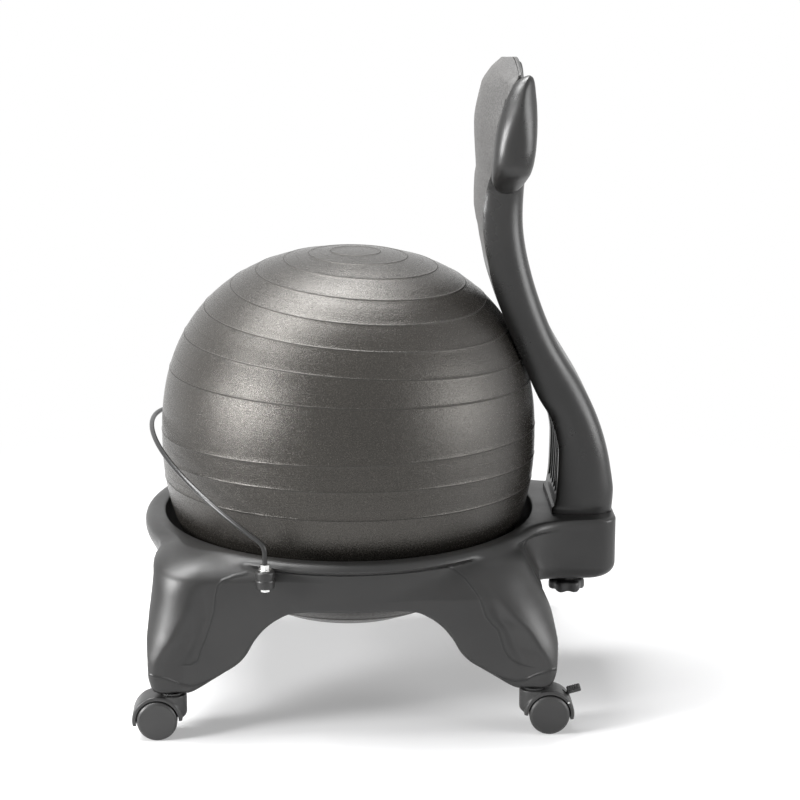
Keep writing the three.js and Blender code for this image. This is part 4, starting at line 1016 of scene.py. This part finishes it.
def backrest_row(share):
    """One level of the backrest: the front face, the near side, the back and the far side."""
    level = BACKREST_BOTTOM + share * BACKREST_RISE
    half = float(half_width_line(share))
    front = float(front_line(share)) * BLOCK_REAR
    back = float(np.mean(back_line(share + BACK_EASE))) * BLOCK_REAR
    edge = float(face_edge(half))
    crown = PAD_CROWN * float(bow_line(share))
    middle = front + MIDDLE_SHARE * (back - front)
    across = np.linspace(edge, -edge, FACE_COLUMNS)
    row = list(zip(front - crown * (1 - (across / edge) ** 2) + slot_pocket(across, level), across))
    back_round = min(BACK_EDGE_ROUND, half - 8)
    near = []
    for a in np.radians(np.linspace(0, 90, 13))[1:]:
        near.append((
            middle - (middle - front) * math.cos(a) ** 1.3, -(edge + (half - edge) * math.sin(a) ** 1.3),
        ))
    for a in np.radians(np.linspace(0, 90, 15))[1:]:
        out = half - back_round + back_round * max(math.cos(a), 0) ** 0.87
        near.append((middle + (back - middle) * math.sin(a) ** 0.87, -out))
    row += near
    row += [(back, y) for y in np.linspace(-(half - back_round), half - back_round, 20)[1:-1]]
    row += [(x, -y) for x, y in near[::-1]]
    drop = TOP_ARCH_DROP * float(smoothstep(share, 0.84, 1))
    return [(x + axis_x, y, level - drop * (y / PAD_HALF_WIDTH) ** 2) for x, y in row]


def cap_row(top_row, share):
    """A row inside the topmost one, drawn towards a middle line, so that the cap stays even."""
    ridge = front_line(1) * BLOCK_REAR + axis_x + CAP_RIDGE_SETBACK
    return [(lerp(x, ridge, share), y * (1 - 0.02 * share), z) for x, y, z in top_row]


def wing_rows(side):
    angles = np.linspace(0, 2 * math.pi, WING_COLUMNS, endpoint=False)
    rows = []
    for share in (1 - np.cos(np.linspace(0, math.pi, WING_ROWS))) / 2:
        middle, thickness, across, width = (float(line(share)) for line in wing_lines)
        level = WING_LOW + share * (WING_HIGH - WING_LOW)
        power = 2 / float(wing_fullness(share))
        xs = middle + thickness * np.sign(np.cos(angles)) * np.abs(np.cos(angles)) ** power
        ys = side * across + width * np.sign(np.sin(angles)) * np.abs(np.sin(angles)) ** power
        rows.append([(x + axis_x, y, level) for x, y in zip(xs, ys)])
    return rows


def on_a_wing(x, y, height):
    share = np.clip((height - WING_LOW) / (WING_HIGH - WING_LOW), 0, 1)
    middle, thickness, across, width = (line(share) for line in wing_lines)
    power = wing_fullness(share)
    return (np.abs(x - middle) / thickness) ** power + (np.abs(np.abs(y) - across) / width) ** power < 1.06


def mark_face(backrest):
    """Writes where the dotted front face lies: all over the pad, fading down the stem."""
    x, y, height = places_mm(backrest)
    arch = (y / PAD_HALF_WIDTH) ** 2 * smoothstep(height, BACKREST_TOP - 90, BACKREST_TOP - 8)
    share = np.clip((height + TOP_ARCH_DROP * arch - BACKREST_BOTTOM) / BACKREST_RISE, 0, 1)
    half = half_width_line(share)
    edge = face_edge(half)
    front = front_line(share) * BLOCK_REAR - PAD_CROWN * bow_line(share) * (1 - (y / edge) ** 2)
    back = np.mean([back_line(share + ease) for ease in BACK_EASE], axis=0) * BLOCK_REAR
    on_wing = on_a_wing(x, y, height)
    on_face = (np.abs(x - front) < 3) & (np.abs(y) < edge + 1.5) & ((share < 0.9) | ~on_wing)
    on_top = (share > 0.94) & (x < back - 2.5) & (np.abs(y) < half + 1) & ~on_wing
    write_values(backrest, "face", np.where(on_face | on_top, smoothstep(height, *FACE_FADE), 0))


def make_backrest(material):
    shares = np.concatenate([
        np.linspace(0, 0.0175, 8), np.linspace(0.0175, 0.96, 190)[1:], np.linspace(0.96, 1, 22)[1:],
    ])
    rows = [backrest_row(s) for s in shares]
    rows += [cap_row(rows[-1], s) for s in CAP_SHARES]
    stem = lofted("backrest_moulding", rows)
    joined(stem, *(lofted(f"wing_{label}", wing_rows(side)) for label, side in SIDES))
    shaded(stem, 32)
    mark_face(stem)
    dress(stem, "base", material, "backrest_plastic", "backrest_shell")


make_backrest(BACKREST_PLASTIC)


# Retaining bar: a bent wire, made by a node tree that lays a round section along a line
BAR_DIAMETER = 6
BAR_BEND_RISE = 31
BAR_BEND_REACH = 11
BAR_TAIL = 7.5
BAR_APEX = (-250, 337)
BAR_SIDES = 20


def new_tree(name, inputs):
    """An empty node tree with a shape going in and out, and named inputs for its sizes."""
    tree = bpy.data.node_groups.new(name, "GeometryNodeTree")
    tree.interface.new_socket("Shape", in_out="OUTPUT", socket_type="NodeSocketGeometry")
    tree.interface.new_socket("Shape", in_out="INPUT", socket_type="NodeSocketGeometry")
    for label, kind in inputs:
        tree.interface.new_socket(label, in_out="INPUT", socket_type=kind)
    return tree, tree.nodes.new("NodeGroupInput"), tree.nodes.new("NodeGroupOutput")


def finish_tree(tree, into, result, out):
    """Every tree ends the same way: real meshes, then one material."""
    real = tree.nodes.new("GeometryNodeRealizeInstances")
    coat = tree.nodes.new("GeometryNodeSetMaterial")
    tree.links.new(result, real.inputs["Geometry"])
    tree.links.new(real.outputs["Geometry"], coat.inputs["Geometry"])
    tree.links.new(into.outputs["Material"], coat.inputs["Material"])
    tree.links.new(coat.outputs["Geometry"], out.inputs["Shape"])


def grown(thing, tree, values):
    """Runs a node tree over an object and keeps the mesh that comes out."""
    step = thing.modifiers.new("grow", "NODES")
    step.node_group = tree
    for item in tree.interface.items_tree:
        if item.in_out == "INPUT" and item.name in values:
            step[item.identifier] = values[item.name]
    settled(thing)


def wire_tree():
    """Lays a round section along a line of points, with closed ends."""
    tree, into, out = new_tree("wire_along_line", (
        ("Radius", "NodeSocketFloat"), ("Sides", "NodeSocketInt"), ("Material", "NodeSocketMaterial"),
    ))
    line = tree.nodes.new("GeometryNodeMeshToCurve")
    section = tree.nodes.new("GeometryNodeCurvePrimitiveCircle")
    sweep = tree.nodes.new("GeometryNodeCurveToMesh")
    sweep.inputs["Fill Caps"].default_value = True
    smooth = tree.nodes.new("GeometryNodeSetShadeSmooth")
    tree.links.new(into.outputs["Shape"], line.inputs["Mesh"])
    tree.links.new(into.outputs["Radius"], section.inputs["Radius"])
    tree.links.new(into.outputs["Sides"], section.inputs["Resolution"])
    tree.links.new(line.outputs["Curve"], sweep.inputs["Curve"])
    tree.links.new(section.outputs["Curve"], sweep.inputs["Profile Curve"])
    tree.links.new(sweep.outputs["Mesh"], smooth.inputs[0])
    finish_tree(tree, into, smooth.outputs[0], out)
    return tree


def bar_line():
    """Middle line of the bar, from its near tail round the front of the ball to the far one."""
    corner_height = LUG_TOP + BAR_BEND_RISE
    run, climb = LUG_X - BAR_APEX[0], BAR_APEX[1] - corner_height
    slope, depth = math.atan2(climb, run), math.hypot(run, climb)
    radius = (depth ** 2 + LUG_Y ** 2) / (2 * depth)
    half_angle = math.atan2(LUG_Y, radius - depth)
    skip = BAR_BEND_REACH / (2 * half_angle * radius)
    arc = []
    for t in np.linspace(skip, 1 - skip, 161):
        angle = lerp(-half_angle, half_angle, t)
        forward = radius * math.cos(angle) - (radius - depth)
        arc.append((
            LUG_X - forward * math.cos(slope),
            radius * math.sin(angle),
            corner_height + forward * math.sin(slope),
        ))

    def end(side, first):
        low = Vector((LUG_X, side * LUG_Y, LUG_BOTTOM - BAR_TAIL))
        high = Vector((LUG_X, side * LUG_Y, corner_height - BAR_BEND_REACH))
        corner = Vector((LUG_X, side * LUG_Y, corner_height))
        first = Vector(first)
        points = [low.lerp(high, t) for t in np.linspace(0, 1, 7)]
        for t in np.linspace(0, 1, 13)[1:-1]:
            points.append(high * (1 - t) ** 2 + corner * 2 * t * (1 - t) + first * t * t)
        return [tuple(point) for point in points]

    return end(-1, arc[0]) + arc + end(1, arc[-1])[::-1]


def make_bar(material):
    points = [(x + axis_x, y, z) for x, y, z in bar_line()]
    edges = [(i, i + 1) for i in range(len(points) - 1)]
    bar = mesh_object("retaining_wire", points, [], smooth=False, edges=edges)
    grown(bar, wire_tree(), {"Radius": BAR_DIAMETER / 2 * MM, "Sides": BAR_SIDES, "Material": material})
    bar.data.set_sharp_from_angle(angle=math.radians(50))
    dress(bar, "base", material, "black_steel", "retaining_bar")


make_bar(BLACK_WIRE)


# Casters. In a caster's own frame its stem is the Z axis and the wheels trail along +X.
WHEEL_RADIUS = 24.6
WHEEL_WIDTH = 16.6
WEB_HALF = 5.1
WHEEL_GAP = 0.3
TRAIL = 18.3
AXLE_RADIUS = 3.1
FENDER_INNER = 26.1
FENDER_OUTER = 30.2
HOOD_WIDTH = 37
HOOD_SKIRT = 18.7
NECK_RADIUS = 17.25
NECK_TOP = 54.3
COLLAR_ROOM_RADIUS = 15.1
STEM_ROOM_RADIUS = 5.8
STEM_ROOM_FOOT = 41.7
LEVER_WIDTH = 5.2
LEVER_PIN = (41.285, 40.104)
LEVER_PIN_RADIUS = 1.5
LEVER_ROOM_RADIUS = 11.4
LEVER_HUB_RADIUS = 3.2
# Length, thickness and angle of the lever's neck
LEVER_NECK = (9.5, 3.6, 82)
# Length, width, thickness and rise of the pedal
PEDAL = (17, 18, 3.6, 15)
RIB_COUNT = 5
RIB_SPACING = 3
RIB_RADIUS = 0.75
HOOD_VOXEL = 0.75
HOOD_SOFTENING = 9
ROOM_BELOW = 60
# Length, width, height, rounding and place of the room that trims the fender's inner tip
ROOM_UNDER_NECK = (30, 90, 20, 1, (-11, 0, 14.5))


def rod_across(name, radius, length, x, z, rounding=0, count=ROUND_STEPS):
    """A rod made round Z, laid round Y and moved to its place."""
    rod = upright_rod(name, radius, -length / 2, length / 2, rounding, count)
    rod.data.transform(shift_mm(x, 0, z) @ Matrix.Rotation(math.pi / 2, 4, "X"))
    return rod


def softened(thing, voxel, rounds):
    """Runs the skin of joined shapes together, as in a moulding, with soft inner corners."""
    step = thing.modifiers.new("skin", "REMESH")
    step.mode = "VOXEL"
    step.voxel_size = voxel * MM
    ease = thing.modifiers.new("ease", "SMOOTH")
    ease.factor = 0.5
    ease.iterations = rounds
    settled(thing)


def hood_shape(name, rear):
    """A hood with room for the wheels, the stem and its collar, and on the rear ones for the lever."""
    hood = rod_across(name, FENDER_OUTER + 0.35, HOOD_WIDTH + 0.7, TRAIL, WHEEL_RADIUS, 3)
    neck_foot = WHEEL_RADIUS - 1
    neck = turned_piece("neck", rounded_profile([
        (0, neck_foot, 0), (NECK_RADIUS + 0.3, neck_foot, 9), (NECK_RADIUS + 0.3, NECK_TOP + 0.2, 1),
        (0, NECK_TOP + 0.2, 0),
    ], 8))
    joined(hood, neck)
    softened(hood, HOOD_VOXEL, HOOD_SOFTENING)
    rooms = [upright_rod("collar_room", COLLAR_ROOM_RADIUS, NECK_TOP - 0.2, 70)]
    for _, side in SIDES:
        room = rod_across("wheel_room", FENDER_INNER, HOOD_WIDTH, TRAIL, WHEEL_RADIUS, 0, 96)
        room.data.transform(Matrix.Translation((0, side * (WEB_HALF + HOOD_WIDTH / 2) * MM, 0)))
        rooms.append(room)
    rooms.append(slab("below", 160, 90, ROOM_BELOW, 1, (TRAIL, 0, HOOD_SKIRT - ROOM_BELOW / 2)))
    rooms.append(slab("under_neck", *ROOM_UNDER_NECK))
    cut_from(hood, *rooms)
    joined(hood, rod_across("web_foot", AXLE_RADIUS + 5, 2 * WEB_HALF, TRAIL, WHEEL_RADIUS))
    holes = [
        rod_across("axle_room", AXLE_RADIUS + 0.2, 80, TRAIL, WHEEL_RADIUS, 0, 32),
        upright_rod("stem_room", STEM_ROOM_RADIUS, STEM_ROOM_FOOT, 70, 0, 32),
    ]
    if rear:
        holes.append(rod_across("lever_room", LEVER_ROOM_RADIUS, LEVER_WIDTH + 0.6, *LEVER_PIN))
        holes.append(rod_across("pin_room", LEVER_PIN_RADIUS, 80, *LEVER_PIN, 0, 24))
    cut_from(hood, *holes)
    return hood


def wheel_shape(name):
    """One wheel with its axis along Z: tread, rounded shoulder, dished face and a hub."""
    hub, rim = AXLE_RADIUS + 3.5, WHEEL_RADIUS - 4.2
    profile = rounded_profile([
        (0, 12.1, 0), (AXLE_RADIUS, 12.1, 0.3), (AXLE_RADIUS, 0, 0.4), (hub, 0, 0.6), (hub, 9, 1.2),
        (rim, 9, 1.2), (rim, 0, 0.6), (WHEEL_RADIUS, 0, 0.8), (WHEEL_RADIUS, WHEEL_WIDTH - 2.2, 2.2),
        (WHEEL_RADIUS - 3.2, WHEEL_WIDTH, 1.6), (WHEEL_RADIUS - 4.2, WHEEL_WIDTH - 0.25, 0.8),
        (9, WHEEL_WIDTH, 4), (0, WHEEL_WIDTH, 0),
    ], 6)
    return turned_piece(name, profile, 96)


def rib_tree():
    """A row of round ribs that lie across, one after another along X."""
    tree, into, out = new_tree("row_of_ribs", (
        ("Count", "NodeSocketInt"), ("Spacing", "NodeSocketFloat"), ("Radius", "NodeSocketFloat"),
        ("Length", "NodeSocketFloat"), ("Material", "NodeSocketMaterial"),
    ))
    step = tree.nodes.new("ShaderNodeCombineXYZ")
    row = tree.nodes.new("GeometryNodeMeshLine")
    place = tree.nodes.new("GeometryNodeInstanceOnPoints")
    rib = tree.nodes.new("GeometryNodeMeshCylinder")
    rib.inputs["Vertices"].default_value = 16
    turn = tree.nodes.new("GeometryNodeTransform")
    turn.inputs["Rotation"].default_value = (math.pi / 2, 0, 0)
    smooth = tree.nodes.new("GeometryNodeSetShadeSmooth")
    tree.links.new(into.outputs["Spacing"], step.inputs["X"])
    tree.links.new(into.outputs["Count"], row.inputs["Count"])
    tree.links.new(step.outputs[0], row.inputs["Offset"])
    tree.links.new(into.outputs["Radius"], rib.inputs["Radius"])
    tree.links.new(into.outputs["Length"], rib.inputs["Depth"])
    tree.links.new(rib.outputs["Mesh"], turn.inputs["Geometry"])
    tree.links.new(row.outputs["Mesh"], place.inputs["Points"])
    tree.links.new(turn.outputs["Geometry"], place.inputs["Instance"])
    tree.links.new(place.outputs["Instances"], smooth.inputs[0])
    finish_tree(tree, into, smooth.outputs[0], out)
    return tree


def lever_shape(name, material):
    length, width, thickness, rise = PEDAL
    neck_length, neck_thickness, neck_angle = LEVER_NECK
    neck_turn, pedal_turn = math.radians(neck_angle), math.radians(rise)
    hub = rod_across(name, LEVER_HUB_RADIUS, LEVER_WIDTH, 0, 0, 0.6, 40)
    middle = neck_length / 2
    neck = slab("lever_neck", neck_length, LEVER_WIDTH, neck_thickness, 1.2,
                (middle * math.cos(neck_turn), 0, middle * math.sin(neck_turn)), neck_angle)
    end_x, end_z = neck_length * math.cos(neck_turn), neck_length * math.sin(neck_turn)
    out = length / 2 - neck_thickness / 2
    pedal_middle = (end_x + out * math.cos(pedal_turn), 0, end_z + out * math.sin(pedal_turn))
    pedal = slab("pedal", length, width, thickness, 1.8, pedal_middle, rise)
    ribs = mesh_object("pedal_ribs", [(0, 0, 0)], [], smooth=False)
    grown(ribs, rib_tree(), {
        "Count": RIB_COUNT, "Spacing": RIB_SPACING * MM, "Radius": RIB_RADIUS * MM,
        "Length": (width - 3.2) * MM, "Material": material,
    })
    shift = shift_mm(-RIB_SPACING * (RIB_COUNT - 1) / 2, 0, thickness / 2)
    ribs.data.transform(shift_mm(*pedal_middle) @ Matrix.Rotation(-pedal_turn, 4, "Y") @ shift)
    joined(hub, neck, pedal, ribs)
    cut_from(hub, rod_across("pin_room", LEVER_PIN_RADIUS, 40, 0, 0, 0, 24))
    hub.data.transform(shift_mm(LEVER_PIN[0], 0, LEVER_PIN[1]))
    return hub


def placed_copy(shape, name, matrix, sharp_angle):
    """A copy of a shape with its points moved to their place, its object left at the origin."""
    thing = bpy.data.objects.new(name, shape.data.copy())
    bpy.context.scene.collection.objects.link(thing)
    thing.data.transform(matrix)
    shaded(thing, sharp_angle)
    return thing


def make_casters(material):
    wheel = wheel_shape("wheel")
    hoods = {False: hood_shape("front_hood", False), True: hood_shape("rear_hood", True)}
    lever = lever_shape("lever", material)
    for corner in CORNERS:
        rear = corner.startswith("rear")
        stem = middle_mm(f"caster_{corner}_stem")
        spot = shift_mm(stem[0], stem[1], 0)
        if not rear:
            spot = spot @ Matrix.Rotation(math.pi, 4, "Z")
        hood = placed_copy(hoods[rear], f"{corner}_hood", spot, 35)
        dress(hood, f"caster_{corner}", material, "hood_plastic", f"caster_{corner}_hood")
        for label, side in (("left", 1), ("right", -1)):
            seat = shift_mm(TRAIL, side * (WEB_HALF + WHEEL_GAP), WHEEL_RADIUS)
            turn = Matrix.Rotation(-side * math.pi / 2, 4, "X")
            turned = placed_copy(wheel, f"{corner}_wheel_{label}", spot @ seat @ turn, 50)
            node = f"caster_{corner}_wheel_{label}"
            dress(turned, node, material, "wheel_plastic", node)
        if rear:
            pedal = placed_copy(lever, f"{corner}_lever", spot, 35)
            node = f"caster_{corner}_brake_lever"
            dress(pedal, node, material, "lever_plastic", node)
    for shape in (wheel, lever, *hoods.values()):
        bpy.data.objects.remove(shape)


make_casters(CASTER_PLASTIC)


# Hand knobs: a lobed grip with a waved foot under a round hub
KNOB_SETBACK = 278.025
KNOB_Y = 45
KNOB_FOOT = 119.7
KNOB_HEIGHT = 15
KNOB_TOP = 140.7
KNOB_RADIUS = 23
KNOB_LOBES = 6
KNOB_LOBE_DEPTH = 3
KNOB_WAVE = 1.6
KNOB_HUB_RADIUS = 12
# Height over the foot, inset of the grip
KNOB_ROWS = (
    (0, 5), (0.35, 3), (1.2, 1.4), (2.6, 0.4), (4.5, 0), (10, 0), (12.2, 0.5), (13.8, 1.6),
    (14.7, 3.2), (15, 5.5),
)


def make_knobs(material):
    angles = np.linspace(0, 2 * math.pi, 180, endpoint=False)
    lobe = (1 - np.cos(KNOB_LOBES * angles)) / 2
    middle_x = KNOB_SETBACK + axis_x
    for label, side in SIDES:
        rows = []
        for height, inset in KNOB_ROWS:
            radius = KNOB_RADIUS - KNOB_LOBE_DEPTH * lobe - inset
            level = KNOB_FOOT + height + KNOB_WAVE * lobe * (1 - height / KNOB_HEIGHT)
            rows.append([
                (middle_x + r * math.cos(a), side * KNOB_Y + r * math.sin(a), z)
                for r, a, z in zip(radius, angles, level)
            ])
        knob = lofted(f"hand_knob_{label}", rows)
        hub = upright_rod("knob_hub", KNOB_HUB_RADIUS, KNOB_FOOT + KNOB_HEIGHT - 1, KNOB_TOP, 0.8)
        hub.data.transform(shift_mm(middle_x, side * KNOB_Y, 0))
        joined(knob, hub)
        shaded(knob, 40)
        dress(knob, f"backrest_knob_{label}", material, "knob_plastic", f"backrest_knob_{label}")


make_knobs(KNOB_PLASTIC)


# Every node of the frame gets the finish of its slot. The ball's own node is hidden by its skin.
FINISHES = {
    "plug_plastic": CASTER_PLASTIC, "black_steel": BLACK_WIRE, "plated_steel": PLATED_STEEL,
    "stem_steel": BLACK_WIRE, "knob_plastic": KNOB_PLASTIC, "hood_plastic": CASTER_PLASTIC,
    "wheel_plastic": CASTER_PLASTIC, "lever_plastic": CASTER_PLASTIC,
    "base_plastic": BASE_PLASTIC, "backrest_plastic": BACKREST_PLASTIC, "ball_vinyl": BACKREST_PLASTIC,
}
for part in frame["record"]["subparts"]:
    node = NODES[part["node"]]
    node.data.materials.clear()
    node.data.materials.append(FINISHES[part["material_slot"]])


# Floor, backdrop and light
FLOOR_HALF = 6
PAPER_WHITE = (0.9, 0.9, 0.905, 1)
SHADOW_REACH = (0.4, 1.25)
SHADOW_LIFT = 0.28
WORLD_STRENGTH = 0.12
# Name, place, what it faces, width, height and power of each lamp
LAMPS = (
    ("left_box", (-2.15, -0.95, 0.92), (0, 0, 0.32), 0.6, 0.8, 72),
    ("shoulder_box", (-1.35, -0.15, 2.15), (0, 0, 0.32), 0.8, 0.9, 46),
    ("top_box", (-0.3, 0.65, 2.65), (0, 0, 0.32), 1.7, 0.9, 80),
    ("right_box", (2.1, -0.75, 0.75), (0, 0, 0.35), 1.2, 1.2, 30),
)


def mixed_surface(tree, factor, first, second, out):
    """Sends a mix of two shaders to an output node."""
    mix = tree.nodes.new("ShaderNodeMixShader")
    for source, socket in zip((factor, first.outputs[0], second.outputs[0]), mix.inputs):
        tree.links.new(source, socket)
    tree.links.new(mix.outputs[0], out.inputs["Surface"])


def backdrop_rays(tree):
    """1 for rays that see the white backdrop: from the camera, mirrored or through glass."""
    path = tree.nodes.new("ShaderNodeLightPath")
    total = path.outputs["Is Camera Ray"]
    for kind in ("Is Glossy Ray", "Is Transmission Ray"):
        total = math_node(tree, "MAXIMUM", total, path.outputs[kind])
    return total


def floor_paper():
    """White paper that keeps a soft shadow near the chair and runs out to plain white."""
    material, tree, shader = new_material("floor_paper")
    shader.inputs["Base Color"].default_value = PAPER_WHITE
    shader.inputs["Roughness"].default_value = 0.6
    shader.inputs["Specular IOR Level"].default_value = 0.2
    place = tree.nodes.new("ShaderNodeTexCoord")
    spread = tree.nodes.new("ShaderNodeVectorMath")
    spread.operation = "LENGTH"
    tree.links.new(place.outputs["Object"], spread.inputs[0])
    white_share = tree.nodes.new("ShaderNodeMapRange")
    white_share.interpolation_type = "SMOOTHSTEP"
    white_share.inputs["From Min"].default_value = SHADOW_REACH[0]
    white_share.inputs["From Max"].default_value = SHADOW_REACH[1]
    white_share.inputs["To Min"].default_value = SHADOW_LIFT
    tree.links.new(spread.outputs["Value"], white_share.inputs["Value"])
    rays = backdrop_rays(tree)
    seen = math_node(tree, "MULTIPLY", white_share.outputs["Result"], rays)
    white = tree.nodes.new("ShaderNodeEmission")
    mixed_surface(tree, seen, shader, white, tree.nodes["Material Output"])
    return material


def make_stage():
    reach = FLOOR_HALF / MM
    floor = mesh_object("floor", [
        (-reach, -reach, 0), (reach, -reach, 0), (reach, reach, 0), (-reach, reach, 0),
    ], [(0, 1, 2, 3)], smooth=False)
    floor.data.materials.append(floor_paper())
    world = bpy.data.worlds.new("studio")
    bpy.context.scene.world = world
    world.use_nodes = True
    tree = world.node_tree
    tree.nodes.clear()
    out = tree.nodes.new("ShaderNodeOutputWorld")
    soft = tree.nodes.new("ShaderNodeBackground")
    soft.inputs["Strength"].default_value = WORLD_STRENGTH
    plain = tree.nodes.new("ShaderNodeBackground")
    for background in (soft, plain):
        background.inputs["Color"].default_value = (1, 1, 1, 1)
    mixed_surface(tree, backdrop_rays(tree), soft, plain, out)


def area_light(name, place, aim, width, height, power):
    data = bpy.data.lights.new(name, "AREA")
    data.shape = "RECTANGLE"
    data.size = width
    data.size_y = height
    data.energy = power
    lamp = bpy.data.objects.new(name, data)
    lamp.location = place
    direction = Vector(aim) - Vector(place)
    lamp.rotation_euler = direction.to_track_quat("-Z", "Y").to_euler()
    bpy.context.scene.collection.objects.link(lamp)


make_stage()
for lamp in LAMPS:
    area_light(*lamp)

bpy.context.scene.view_settings.view_transform = "Standard"
